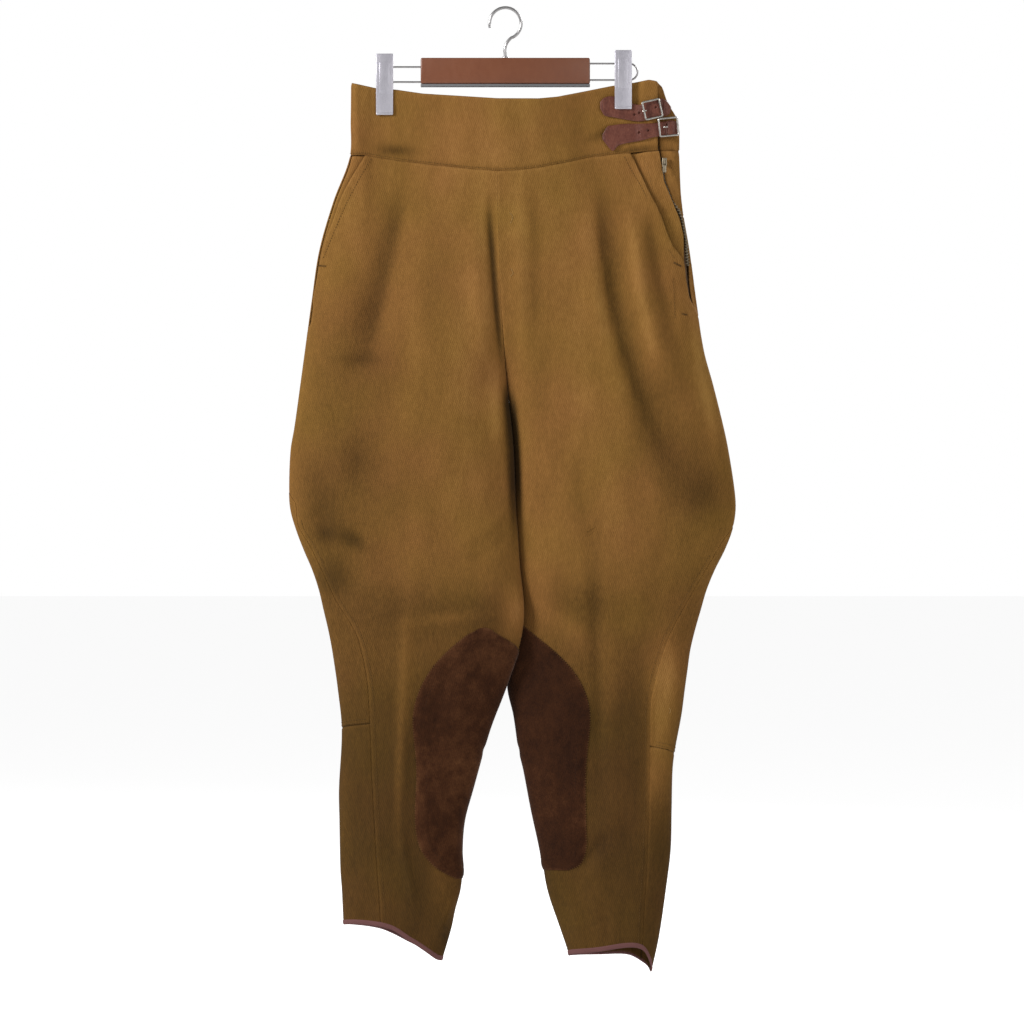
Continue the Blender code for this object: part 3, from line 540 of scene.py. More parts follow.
def leg_surface(leg: Leg) -> LegSurface:
    """Gathers one leg's tables.

    Args:
        leg: Which leg.

    Returns:
        Its surface.
    """
    folds = [fold for fold in fold_list() if fold.leg is leg]
    marks = [mark for mark in [*mark_list(), *stroke_list()] if mark.leg is leg]
    if leg is Leg.RIGHT:
        rows = [  # drop, outer, inner, shift
            (74, -162, -8.4, 0), (118, -163, -8.4, 0), (156, -164, -8.4, 0), (202, -181, -8, 0),
            (254, -196, -6.3, 0), (307, -204, -4.7, 0), (359, -211, -1, 0), (396, -216, 2.3, 0),
            (440, -222, 7, -3), (464, -226, 9, -3.5), (506, -227.5, 10.7, -3.5), (527, -226, 11.5, -3.5),
            (548, -220, 13.2, -3.7), (569, -212, 14.5, -4), (590, -203, 16, -4.3), (611, -196, 18.5, -6),
            (632, -191, 20, -9), (653, -186, 18.4, -9.5), (674, -182, 13.6, -9), (716, -176, -1, -6),
            (758, -172, -17, -4), (821, -175, -35, -2), (853, -174.5, -43.5, -2), (884, -174, -46, -2),
            (905, -173.5, -45, -2), (926, -172, -47, -2), (947, -171, -52.5, -2), (968, -170, -57, -2),
            (1015, -167, -71, -2)]
        hem = [(0, 1001), (0.09, 998), (0.2, 981), (0.27, 967), (0.36, 962), (0.5, 963), (0.6, 964),
               (0.7, 969), (0.8, 984), (0.9, 996), (1, 1001)]
        border = [(150, -145), (192, -170), (226, -183), (244, -190), (270, -196), (300, -202),
                  (340, -209), (370, -250), (498, -250), (512, -224), (544, -217.5), (565, -205),
                  (594, -191), (622, -177.5), (654, -157.5), (684, -148.5), (713, -144), (760, -141.5),
                  (814, -139.5), (883, -135.5), (953, -131), (1015, -128)]
        silhouette = (352, 507)
    else:
        rows = [
            (74, 164, -8.4, 0), (97, 170, -8.4, 0), (118, 181, -8.4, 0), (156, 183, -8.4, 0),
            (202, 185.5, -8, 0), (254, 194, -6.3, 0), (307, 201, -4.7, 0), (359, 209, -1, 0),
            (396, 219, 2.3, 0), (440, 230, 6, 3), (464, 235, 8, 3.5), (506, 241.5, 9.7, 3.5),
            (527, 242.6, 10.5, 3.5), (548, 239, 12, 3.7), (569, 231, 13.3, 4), (590, 220.5, 14.5, 4.3),
            (611, 212, 15, 6), (632, 206, 12, 9), (653, 200, 8, 9.5), (674, 195, 6, 10),
            (695, 192, 4, 9), (716, 189, 3.5, 6), (742, 185.5, 9.5, 3), (779, 178.5, 15, 0),
            (800, 176, 20, 0), (842, 175, 28, 0), (884, 174, 37, 0), (926, 169, 44, 0),
            (968, 163, 58, 0), (989, 159, 65, 0), (1015, 153, 71, 0)]
        hem = [(0, 996), (0.06, 994), (0.19, 991), (0.31, 986), (0.37, 989), (0.43, 1002), (0.5, 1013),
               (0.61, 1004), (0.69, 996), (0.79, 996), (1, 996)]
        border = [(150, 131), (188, 149), (213, 161.5), (247, 174.5), (264, 187), (286, 190.5),
                  (312, 196), (323, 202), (345, 260), (530, 260), (546, 239), (586, 213), (620, 193),
                  (648, 177.5), (666, 169), (689, 161.5), (710, 156.5), (730, 152.5), (811, 151.5),
                  (899, 149), (944, 146), (1015, 143)]
        silhouette = (330, 540)
    return LegSurface(leg, Curve([(r[0], r[1]) for r in rows]), Curve([(r[0], r[2]) for r in rows]),
                      Curve([(r[0], r[3]) for r in rows]), Curve(hem), Curve(border), *silhouette, folds,
                      marks)


def eased(count: int, ends: float = 0.35) -> Array:
    """Steps from 0 to 1 that lie closer together near both ends."""
    s = np.linspace(0, 1, count + 1)
    return s - ends * np.sin(2 * math.pi * s) / (2 * math.pi)


@dataclass(frozen=True)
class Drape:
    """A cloth piece: a grid of columns by rows, moved onto a surface and given its wall."""

    name: str
    finish: str
    nodes: tuple[str, ...]
    columns: int
    rows: int
    wall: float = CLOTH
    mirrored: bool = False
    ring: bool = False
    sheet: bool = True

    def make(self, place: Callable[[Array, Array], Array], tone: Callable[[Array, Array], Array] | None = None,
             across: Array | None = None, down: Array | None = None) -> bpy.types.Object:
        """Makes the piece.

        Args:
            place: Gives points in millimetres for arrays of steps across and steps down, both 0 to 1.
            tone: Gives how dark or pale each point is, or nothing for 0 everywhere.
            across: The columns' steps, or nothing for even ones.
            down: The rows' steps, or nothing for even ones.

        Returns:
            The finished object.
        """
        mesh = bmesh.new()
        uv = mesh.loops.layers.uv.new("UVMap")
        shade = mesh.verts.layers.float.new("tone")
        edge = mesh.verts.layers.float.new("edge")
        bmesh.ops.create_grid(mesh, x_segments=self.columns, y_segments=self.rows, size=0.5)
        mesh.verts.ensure_lookup_table()
        corners = np.array([v.co[:2] for v in mesh.verts])
        i = np.rint((corners[:, 0] + 0.5) * self.columns).astype(int)
        if self.mirrored:
            i = self.columns - i
        j = np.rint((0.5 - corners[:, 1]) * self.rows).astype(int)
        steps = np.linspace(0, 1, self.columns + 1) if across is None else across
        levels = np.linspace(0, 1, self.rows + 1) if down is None else down
        s, v = steps[i], levels[j]
        points = place(s, v)
        tones = np.zeros(len(s)) if tone is None else tone(s, v)
        grid = np.zeros((self.rows + 1, self.columns + 1, 3))
        grid[j, i] = points
        length = np.zeros(grid.shape[:2])
        length[:, 1:] = np.cumsum(np.linalg.norm(np.diff(grid, axis=1), axis=2), axis=1)
        middle = self.columns // 2
        side = -1 if self.mirrored else 1
        length += (side * grid[:, middle, 0] - length[:, middle])[:, None]
        depth = np.zeros(grid.shape[:2])
        depth[1:] = np.cumsum(np.linalg.norm(np.diff(grid, axis=0), axis=2), axis=0)
        rim = np.minimum(np.minimum(depth, depth[-1] - depth),
                         np.minimum(length - length[:, :1], length[:, -1:] - length))
        flat = np.stack([length[j, i], points[:, 2]], axis=1) * MM
        for vert, point, value, near in zip(mesh.verts, points, tones, rim[j, i]):
            vert.co = point * MM
            vert[shade] = value
            vert[edge] = math.exp(-((max(near, 0.0) - 1.2) / 1.6) ** 2)
        for face in mesh.faces:
            for loop in face.loops:
                loop[uv].uv = flat[loop.vert.index]
        if self.ring:
            bmesh.ops.remove_doubles(mesh, verts=mesh.verts[:], dist=1e-5)
        piece = to_object(self.name, mesh, self.finish, self.nodes)
        if self.wall:
            wall = piece.modifiers.new("wall", "SOLIDIFY")
            wall.thickness = self.wall * MM
            wall.offset = -1
            wall.use_even_offset = False
        if self.sheet:
            wide = float(np.ptp(length[len(length) // 2])) * MM
            tall = float(depth[-1].mean()) * MM
            wide, tall = max(wide, 0.011), max(tall, 0.011)
        return piece


def to_object(name: str, mesh: bmesh.types.BMesh, finish: str, nodes: Sequence[str] = (), body: str = BODY,
              smooth: float = 50.0) -> bpy.types.Object:
    """Turns a mesh into a named piece that rides a body and has its material.

    Args:
        name: Name of the piece.
        mesh: Its geometry in metres, which is freed.
        finish: Key of its material.
        nodes: CAD nodes that it stands for.
        body: Body that it moves with.
        smooth: Edges sharper than this angle, in degrees, stay sharp.

    Returns:
        The object.
    """
    data = bpy.data.meshes.new(name)
    mesh.to_mesh(data)
    mesh.free()
    data.materials.append(FINISHES[finish].material())
    data.shade_smooth()
    data.set_sharp_from_angle(angle=math.radians(smooth))
    piece = bpy.data.objects.new(name, data)
    bpy.context.scene.collection.objects.link(piece)
    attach(piece, body)
    if nodes:
        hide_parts(*nodes)
    LOG.info("%s: %d faces", name, len(data.polygons))
    return piece


class Group:
    """A shader node group, built once and used by every finish that asks for it."""

    def __init__(self, name: str, inputs: dict[str, float | None], outputs: dict[str, str]) -> None:
        """Starts the group.

        Args:
            name: Name of the group.
            inputs: Socket names with their defaults, or None for a vector.
            outputs: Socket names with their socket types.
        """
        self.tree = bpy.data.node_groups.new(name, "ShaderNodeTree")
        for key, value in inputs.items():
            kind = "NodeSocketVector" if value is None else "NodeSocketFloat"
            socket = self.tree.interface.new_socket(name=key, in_out="INPUT", socket_type=kind)
            if value is not None:
                socket.default_value = value
        for key, kind in outputs.items():
            self.tree.interface.new_socket(name=key, in_out="OUTPUT", socket_type=kind)
        self.first = self.tree.nodes.new("NodeGroupInput")
        self.last = self.tree.nodes.new("NodeGroupOutput")

    def node(self, kind: str, settings: dict[str, object] | None = None, **inputs: object) -> bpy.types.Node:
        """Adds a node to the group."""
        return add_node(self.tree, kind, settings, inputs)


def add_node(tree: bpy.types.NodeTree, kind: str, settings: dict[str, object] | None,
             inputs: dict[str, object]) -> bpy.types.Node:
    """Adds one shader node.

    Args:
        tree: The tree that it goes into.
        kind: Its type, without the ShaderNode prefix.
        settings: Values of its own properties.
        inputs: Sockets by name or "i" and index, each a value or another node's output.

    Returns:
        The node.
    """
    node = tree.nodes.new("ShaderNode" + kind)
    for key, value in (settings or {}).items():
        setattr(node, key, value)
    for key, value in inputs.items():
        name = key.replace("_", " ")
        socket = node.inputs[int(key[1:])] if key[0] == "i" and key[1:].isdigit() else node.inputs[name]
        if isinstance(value, bpy.types.NodeSocket):
            tree.links.new(value, socket)
        else:
            socket.default_value = value
    return node


def calc(tree: bpy.types.NodeTree, how: str, *values: object, clamp: bool = False) -> bpy.types.NodeSocket:
    """A Math node's output.

    Args:
        tree: The tree that it goes into.
        how: The Math node's operation.
        values: Its inputs, in order, each a number or a socket.
        clamp: Whether the result is kept from 0 to 1.

    Returns:
        The result's socket.
    """
    inputs = {f"i{k}": value for k, value in enumerate(values)}
    return add_node(tree, "Math", {"operation": how, "use_clamp": clamp}, inputs).outputs[0]


def shared(name: str, build: Callable[[str], Group]) -> bpy.types.NodeTree:
    """The node group of this name, built on first use."""
    return bpy.data.node_groups.get(name) or build(name).tree


def whipcord_group(name: str) -> Group:
    """Steep twill ribs with uneven threads, read from UV in metres."""
    group = Group(name, {"Vector": None, "Pitch mm": 1.3, "Slant": 0.35},
                  {"Height": "NodeSocketFloat", "Shade": "NodeSocketFloat"})
    tree, vector = group.tree, group.first.outputs["Vector"]
    parts = group.node("SeparateXYZ", i0=vector)
    ribs = calc(tree, "DIVIDE", 1000.0, group.first.outputs["Pitch mm"])
    slanted = calc(tree, "MULTIPLY_ADD", parts.outputs[1], group.first.outputs["Slant"], parts.outputs[0])
    wander = group.node("TexNoise", {"noise_dimensions": "3D"}, Vector=vector, Scale=140.0, Detail=2.0)
    phase = calc(tree, "MULTIPLY", slanted, ribs)
    phase = calc(tree, "MULTIPLY_ADD", wander.outputs[0], 0.9, phase)
    wave = calc(tree, "SINE", calc(tree, "MULTIPLY", phase, 2 * math.pi))
    stretch = group.node("Mapping", i0=vector, Scale=(1.0, 0.35, 1.0))
    slub = group.node("TexNoise", Vector=stretch.outputs[0], Scale=900.0, Detail=3.0, Roughness=0.6)
    height = calc(tree, "MULTIPLY_ADD", wave, 0.5, 0.5)
    shade = calc(tree, "MULTIPLY_ADD", slub.outputs[0], 2.0, -1.0)
    shade = calc(tree, "MULTIPLY_ADD", wave, 0.45, shade)
    tree.links.new(calc(tree, "MULTIPLY_ADD", slub.outputs[0], 0.8, height), group.last.inputs["Height"])
    tree.links.new(shade, group.last.inputs["Shade"])
    return group


def mottle_group(name: str) -> Group:
    """Uneven shade of worn cloth at three sizes, from -1 to 1, read from Object coordinates."""
    group = Group(name, {"Vector": None, "Broad": 9.0, "Middle": 45.0, "Fine": 260.0, "Stretch": 0.5},
                  {"Shade": "NodeSocketFloat", "Fine shade": "NodeSocketFloat"})
    tree, vector = group.tree, group.first.outputs["Vector"]
    parts = group.node("SeparateXYZ", i0=vector)
    tall = calc(tree, "MULTIPLY", parts.outputs[2], group.first.outputs["Stretch"])
    joined = group.node("CombineXYZ", X=parts.outputs[0], Y=parts.outputs[1], Z=tall).outputs[0]
    sizes = [(group.first.outputs[key], share) for key, share in (("Broad", 1.1), ("Middle", 0.9))]
    total: object = 0.0
    for scale, share in sizes:
        noise = group.node("TexNoise", Vector=joined, Scale=scale, Detail=3.0, Roughness=0.55).outputs[0]
        centred = calc(tree, "SUBTRACT", noise, 0.5)
        total = calc(tree, "MULTIPLY_ADD", centred, 2 * share, total)
    fine = group.node("TexNoise", Vector=joined, Scale=group.first.outputs["Fine"], Detail=2.0).outputs[0]
    tree.links.new(total, group.last.inputs["Shade"])
    tree.links.new(calc(tree, "MULTIPLY_ADD", fine, 2.0, -1.0), group.last.inputs["Fine shade"])
    return group


@dataclass(frozen=True)
class Finish:
    """A material with its colours, from dark to pale, and its surface."""

    name: str
    slot: str
    colours: tuple[tuple[int, int, int], ...]
    roughness: float
    metallic: float = 0.0
    sheen: float = 0.0
    coat: float = 0.0
    specular: float = 0.5
    bump: float = 0.3
    sizes: tuple[float, float, float] = (9.0, 45.0, 260.0)
    spread: tuple[float, float] = (0.1, 0.08)
    stretch: float = 0.5

    def material(self) -> bpy.types.Material:
        """The material, built on first use."""
        return bpy.data.materials.get(self.name) or self.build()

    def start(self) -> tuple[bpy.types.Material, bpy.types.Node]:
        """An empty material of this name and its shader, with the constants set."""
        made = bpy.data.materials.new(self.name)
        made.use_nodes = True
        shader = made.node_tree.nodes["Principled BSDF"]
        shader.inputs["Roughness"].default_value = self.roughness
        shader.inputs["Metallic"].default_value = self.metallic
        shader.inputs["Sheen Weight"].default_value = self.sheen
        shader.inputs["Sheen Roughness"].default_value = 0.4
        shader.inputs["Coat Weight"].default_value = self.coat
        shader.inputs["Coat Roughness"].default_value = 0.25
        shader.inputs["Specular IOR Level"].default_value = self.specular
        made.diffuse_color = linear(*self.colours[len(self.colours) // 2])
        return made, shader

    def ramp(self, tree: bpy.types.NodeTree, value: bpy.types.NodeSocket) -> bpy.types.NodeSocket:
        """The colours laid evenly over values from -0.5 to 0.5."""
        place = calc(tree, "ADD", value, 0.5, clamp=True)
        node = add_node(tree, "ValToRGB", None, {"Fac": place})
        stops = node.color_ramp.elements
        while len(stops) < len(self.colours):
            stops.new(0.5)
        for k, colour in enumerate(self.colours):
            stops[k].position = k / (len(self.colours) - 1)
            stops[k].color = linear(*colour)
        return node.outputs[0]

    def mottle(self, tree: bpy.types.NodeTree) -> bpy.types.Node:
        """The mottling group on Object coordinates, at this finish's sizes."""
        where = add_node(tree, "TexCoord", None, {}).outputs["Object"]
        node = add_node(tree, "Group", {"node_tree": shared("mottle", mottle_group)}, {"Vector": where})
        for key, value in zip(("Broad", "Middle", "Fine"), self.sizes):
            node.inputs[key].default_value = value
        node.inputs["Stretch"].default_value = self.stretch
        return node

    def build(self) -> bpy.types.Material:
        """Builds a plain finish: mottled colour, roughness and a fine bump."""
        made, shader = self.start()
        tree = made.node_tree
        node = self.mottle(tree)
        shade = calc(tree, "MULTIPLY", node.outputs["Shade"], self.spread[0])
        shade = calc(tree, "MULTIPLY_ADD", node.outputs["Fine shade"], self.spread[1], shade)
        tree.links.new(self.ramp(tree, shade), shader.inputs["Base Color"])
        rough = calc(tree, "MULTIPLY_ADD", node.outputs["Fine shade"], 0.08, self.roughness, clamp=True)
        tree.links.new(rough, shader.inputs["Roughness"])
        bump = add_node(tree, "Bump", None, {"Strength": self.bump, "Distance": 0.0002,
                                             "Height": node.outputs["Fine shade"]})
        tree.links.new(bump.outputs[0], shader.inputs["Normal"])
        return made


@dataclass(frozen=True)
class Twill(Finish):
    """Cotton whipcord: slanted ribs, mottled wear and the tones painted on each piece, stains and painted shade
    and highlight among them.
    """

    rib_shade: float = 0.09
    pitch: float = 2.1
    edge_shade: float = 0.05
    bump_depth: float = 0.00025
    warmth: float = 0.0

    def build(self) -> bpy.types.Material:
        """Builds the cloth from the ribs, the mottling and the mesh's tone."""
        made, shader = self.start()
        tree = made.node_tree
        node = self.mottle(tree)
        uv = add_node(tree, "UVMap", {"uv_map": "UVMap"}, {}).outputs[0]
        ribs = add_node(tree, "Group", {"node_tree": shared("whipcord", whipcord_group)},
                        {"Vector": uv, "Pitch_mm": self.pitch})
        tone = add_node(tree, "Attribute", {"attribute_name": "tone"}, {}).outputs["Fac"]
        edge = add_node(tree, "Attribute", {"attribute_name": "edge"}, {}).outputs["Fac"]
        uneven = calc(tree, "MULTIPLY_ADD", node.outputs["Shade"], 0.7, 1.0)
        shade = calc(tree, "MULTIPLY", tone, uneven)
        shade = calc(tree, "MULTIPLY_ADD", node.outputs["Shade"], self.spread[0], shade)
        shade = calc(tree, "MULTIPLY_ADD", node.outputs["Fine shade"], self.spread[1], shade)
        shade = calc(tree, "MULTIPLY_ADD", ribs.outputs["Shade"], self.rib_shade, shade)
        shade = calc(tree, "MULTIPLY_ADD", edge, self.edge_shade, shade)
        where = add_node(tree, "TexCoord", None, {}).outputs["Object"]
        tint = add_node(tree, "TexNoise", None, {"Vector": where, "Scale": 11.0, "Detail": 2.0}).outputs[0]
        warm = calc(tree, "MULTIPLY_ADD", calc(tree, "SUBTRACT", tint, 0.5), 4 * self.warmth, 0.5, clamp=True)
        hues = add_node(tree, "ValToRGB", None, {"Fac": warm})
        hues.color_ramp.elements[0].color = (0.95, 1.0, 0.88, 1.0)
        hues.color_ramp.elements[1].color = (1.05, 0.97, 1.14, 1.0)
        mixed = add_node(tree, "Mix", {"data_type": "RGBA", "blend_type": "MULTIPLY"}, {"Factor": 1.0})
        tree.links.new(self.ramp(tree, shade), mixed.inputs[6])
        tree.links.new(hues.outputs[0], mixed.inputs[7])
        tree.links.new(mixed.outputs[2], shader.inputs["Base Color"])
        bump = add_node(tree, "Bump", None, {"Strength": self.bump, "Distance": self.bump_depth,
                                             "Height": ribs.outputs["Height"]})
        soft = add_node(tree, "Bump", None, {"Strength": 0.25, "Distance": 0.0012, "Height":
                                             node.outputs["Shade"], "Normal": bump.outputs[0]})
        tree.links.new(soft.outputs[0], shader.inputs["Normal"])
        return made


FINISHES: dict[str, Finish] = {
    "twill": Twill("brown_twill", "twill", ((54, 38, 15), (90, 63, 26), (130, 92, 43), (164, 121, 64),
                                            (192, 148, 90)), 0.9, sheen=0.04, specular=0.12, bump=0.5,
                   spread=(0.13, 0.09), sizes=(7.0, 34.0, 420.0), stretch=0.3, warmth=0.5),
    "suede": Twill("dark_suede", "suede", ((30, 16, 8), (44, 24, 13), (60, 34, 18), (80, 49, 28),
                                           (104, 70, 42)), 0.96, sheen=0.12, specular=0.08, bump=0.6,
                   spread=(0.30, 0.20), sizes=(26.0, 110.0, 600.0), rib_shade=0.0, stretch=0.8),
    "leather": Finish("worn_leather", "leather", ((44, 20, 14), (70, 34, 25), (98, 51, 38), (124, 74, 57),
                                                  (158, 112, 90)), 0.46, specular=0.4, bump=0.6,
                      sizes=(30.0, 120.0, 700.0), spread=(0.22, 0.2)),
    "hem_tape": Finish("hem_tape", "hem_tape", ((70, 42, 40), (90, 56, 53), (107, 70, 65), (124, 84, 78)),
                       0.85, bump=0.6, specular=0.2, sizes=(20.0, 90.0, 900.0), spread=(0.15, 0.3)),
    "zip_tape": Finish("zip_tape", "zip_tape", ((34, 27, 22), (46, 36, 28), (58, 46, 36)), 0.9,
                       specular=0.2, sizes=(20.0, 90.0, 900.0), spread=(0.15, 0.3)),
    "zip_metal": Finish("dull_brass", "zip_metal", ((118, 106, 88), (152, 140, 118), (186, 174, 152)), 0.42,
                        metallic=0.8, sizes=(60.0, 300.0, 1500.0), spread=(0.3, 0.2)),
    "buckle_metal": Finish("nickel", "buckle_metal", ((150, 146, 140), (190, 186, 178), (214, 210, 204)),
                           0.3, metallic=1.0, sizes=(60.0, 300.0, 1500.0), spread=(0.25, 0.2)),
    "bar_wood": Finish("varnished_wood", "bar_wood", ((84, 42, 24), (118, 66, 38), (140, 86, 54)), 0.45,
                       coat=0.3),
    "bar_strip": Finish("grey_strip", "bar_strip", ((88, 88, 90), (108, 108, 110), (128, 128, 130)), 0.6),
    "clip_metal": Finish("clip_steel", "clip_metal", ((178, 176, 186), (206, 203, 212), (226, 223, 230)),
                         0.4, metallic=0.7, sizes=(60.0, 300.0, 1500.0), spread=(0.25, 0.2)),
    "wire_metal": Finish("steel_wire", "wire_metal", ((150, 148, 148), (186, 184, 184), (210, 208, 208)),
                         0.3, metallic=1.0, sizes=(60.0, 300.0, 1500.0), spread=(0.2, 0.2)),
    "pale_thread": Finish("loose_thread", "twill", ((150, 118, 70), (176, 142, 92), (196, 164, 112)), 0.85,
                          specular=0.2, spread=(0.3, 0.4), sizes=(30.0, 300.0, 2000.0)),
    "thread": Finish("sewing_thread", "twill", ((78, 55, 28), (102, 74, 38), (128, 96, 54)), 0.85,
                     specular=0.2, spread=(0.3, 0.4), sizes=(30.0, 300.0, 2000.0)),
    "dark_thread": Finish("patch_thread", "suede", ((34, 21, 14), (48, 30, 20), (64, 42, 28)), 0.85,
                          specular=0.2, spread=(0.3, 0.4), sizes=(30.0, 300.0, 2000.0)),
}


def rolled(steps: Array, length: float, radius: float = 1.6, depth: float = 0.7) -> Array:
    """How far a seamed edge rolls in, for steps from 0 to 1 along a length in millimetres."""
    near = np.minimum(steps, 1 - steps) * length
    return -depth * np.exp(-(near / radius) ** 2)


@dataclass
class Trousers:
    """The twill panels, pocket facings, waistband and hem tapes."""

    legs: dict[Leg, LegSurface]
    cross_seam: dict[Leg, tuple[float, float]] = field(
        default_factory=lambda: {Leg.RIGHT: (756.0, 4.5), Leg.LEFT: (783.0, 8.0)})
    panel_start: dict[Leg, float] = field(default_factory=lambda: {Leg.RIGHT: 507.0, Leg.LEFT: 544.0})
    band_top: Curve = Curve([(-163, 77.5), (-137, 83), (-113, 85), (-87, 89), (-38, 92.5), (-8, 94.5),
                             (35, 94.5), (55, 92.5), (87, 86), (111, 81), (135, 77.5), (151, 74.5),
                             (160, 76), (170, 86), (183, 90)])
    band_bottom: Curve = Curve([(-164, 154), (-147, 154), (-128, 157.5), (-107, 160.5), (-71, 165),
                                (-40, 168.5), (-9, 171), (16, 170), (35, 167.5), (64, 162), (88, 156.5),
                                (115, 153), (135, 151), (161, 149), (183, 150)])
    zip_back: Curve = Curve([(150, 163), (165, 166.5), (181, 168.5), (200, 176.5), (212, 183.5),
                             (222, 190.5), (240, 195), (262, 196), (285, 195.5), (300, 197), (323, 202)])
    zip_line: Curve = Curve([(135, 157.5), (148, 161.5), (161, 164), (181, 167), (198, 174), (220, 183.5),
                             (238, 188), (256, 189), (280, 190), (300, 193),
                             (326, 199)])

    def band_edge(self, table: Curve, leg: Leg, turn: Array, drop: Array) -> Array:
        """Drop of the waistband's top or bottom edge at each turn."""
        return table.straight(self.legs[leg].skin(turn, drop)[..., 0]) + 2 * smoothstep(0.55, 0.8, turn)

    def panel(self, name: str, leg: Leg, borders: tuple[Callable[[Array], Array], Callable[[Array], Array]],
              edges: tuple[Callable[[Array, Array], Array], Callable[[Array, Array], Array]], columns: int,
              rows: int, out: Callable[[Array, Array], Array] | None = None,
              roll: float = 0.6) -> bpy.types.Object:
        """Makes one twill panel.

        Args:
            name: Name of the panel and of the CAD node that it stands for.
            leg: Its leg.
            borders: First and last turn at a drop.
            edges: Top and bottom drop at a turn.
            columns: Faces across.
            rows: Faces down.
            out: Distance off the surface, or nothing to lie on it.
            roll: How far the edges roll inwards.

        Returns:
            The panel.
        """
        surface = self.legs[leg]
        steps = eased(columns, 0.6)
        levels = eased(rows, 0.4)
        known: dict[str, Array] = {}

        def solve(s: Array, v: Array) -> tuple[Array, Array]:
            if "turn" in known:
                return known["turn"], known["drop"]
            drop = 170 + v * 780
            for _ in range(9):
                first, last = borders[0](drop), borders[1](drop)
                turn = first + (last - first) * s
                high, low = edges[0](turn, drop), edges[1](turn, drop)
                drop = high + (low - high) * v
            known["turn"], known["drop"] = turn, drop
            return turn, drop

        def place(s: Array, v: Array) -> Array:
            turn, drop = solve(s, v)
            wide, tall = 140.0, 700.0
            lift = rolled(s, wide, depth=roll) + rolled(v, tall, depth=roll)
            if out is not None:
                lift = lift + out(turn, drop)
            return surface.place(turn, drop, lift)

        def tone(s: Array, v: Array) -> Array:
            turn, drop = solve(s, v)
            total = surface.tone(turn, drop)
            # Painted shadow: the pocket facing is darkened close to the pocket edge, in the gap under it.
            if "facing" in name:
                away = abs(surface.skin(turn, drop)[..., 0] - surface.border.straight(drop))
                total = total - 0.12 * np.exp(-((away / 3.5) ** 2))
            return total

        drape = Drape(name, "twill", (name,), columns, rows, mirrored=leg is Leg.RIGHT)
        return drape.make(place, tone, steps, levels)

    def gap_turn(self, leg: Leg, turn: Array, drop: Array, gap: float = -0.15) -> Array:
        """Half a seam's gap, as a turn."""
        surface = self.legs[leg]
        length = np.linalg.norm(surface.skin(turn + 0.004, drop) - surface.skin(turn - 0.004, drop), axis=-1)
        return gap * 0.008 / np.maximum(length, 0.2)

    def build_leg(self, leg: Leg) -> None:
        """Makes one leg's panels and its hem tape."""
        surface = self.legs[leg]
        side = leg.name.lower()
        start = self.panel_start[leg]
        cross, slant = self.cross_seam[leg]

        def inseam(drop: Array) -> Array:
            return np.where(drop > 396, self.gap_turn(leg, np.full_like(drop, 0.005), drop), 0.0)

        def front_edge(drop: Array) -> Array:
            turn = np.minimum(surface.border_turn(drop), np.where(drop < start, 0.5, 0.4985))
            return turn - np.where(drop > 330, self.gap_turn(leg, turn, drop), 0.0)

        def back_edge(drop: Array) -> Array:
            turn = 1 - surface.border_turn(np.maximum(drop, 370.0))
            if leg is Leg.LEFT:
                at_zip = surface.turn_at(self.zip_back.straight(drop), drop)
                turn = np.where(drop < 323, at_zip, turn)
            turn = np.maximum(turn, np.where(drop < start, 0.0, 0.5015))
            return turn + self.gap_turn(leg, turn, drop)

        def top(turn: Array, drop: Array) -> Array:
            return self.band_edge(self.band_bottom, leg, turn, drop) - 0.3

        def bottom(turn: Array, drop: Array) -> Array:
            return surface.hem.at(np.mod(turn, 1.0)) - TAPE_HEIGHT + 3.0

        def seam(turn: Array) -> Array:
            return cross - slant * abs(turn - 0.5) / 0.13

        def side_front(drop: Array) -> Array:
            turn = surface.border_turn(drop)
            return np.minimum(turn + self.gap_turn(leg, turn, drop), 0.499)

        def lift(turn: Array, drop: Array) -> Array:
            if leg is Leg.RIGHT:
                return np.zeros_like(drop)
            edge = surface.border.at(drop)
            near = np.exp(-((surface.skin(turn, drop)[..., 0] - edge) / 11) ** 2)
            return 1.8 * near * smoothstep(192, 212, drop) * smoothstep(262, 240, drop)

        self.panel(f"{side}_front_panel", leg, (inseam, front_edge), (top, bottom), 92, 250, lift)
        def sink(turn: Array, drop: Array) -> Array:
            if leg is Leg.RIGHT:
                return np.zeros_like(drop)
            away = surface.skin(turn, drop)[..., 0] - self.zip_back.straight(drop)
            return -2.3 * smoothstep(13, 5, away) * (turn < 0.5) * smoothstep(330, 300, drop)

        self.panel(f"{side}_back_panel", leg, (back_edge, lambda drop: 1 - inseam(drop)), (top, bottom), 76,
                   190, sink)
        self.panel(f"{side}_outer_panel", leg, (side_front, lambda drop: 1 - side_front(drop)),
                   (lambda turn, drop: np.full_like(drop, start), lambda turn, drop: seam(turn) - 0.15), 28, 70)
        self.panel(f"{side}_calf_panel", leg, (side_front, lambda drop: 1 - side_front(drop)),
                   (lambda turn, drop: seam(turn) + 0.15, bottom), 34, 70)

        def tape(s: Array, v: Array) -> Array:
            hem = surface.hem.at(np.mod(s, 1.0))
            bulge = 0.5 - 0.9 * abs(2 * v - 1) ** 4 + 0.12 * np.sin(s * 2 * math.pi * 150)
            return surface.place(s, hem - TAPE_HEIGHT * (1 - v), bulge)

        Drape(f"{side}_hem_tape", "hem_tape", (f"{side}_hem_tape",), 300, 8, wall=2.6,
              mirrored=leg is Leg.RIGHT, ring=True).make(tape)

    def build_facings(self) -> None:
        """Makes the pocket facings that lie under both pocket edges."""
        right, left = self.legs[Leg.RIGHT], self.legs[Leg.LEFT]

        def right_edge(drop: Array) -> Array:
            return right.turn_at(right.border.straight(np.minimum(drop, 300)) + 9, drop)

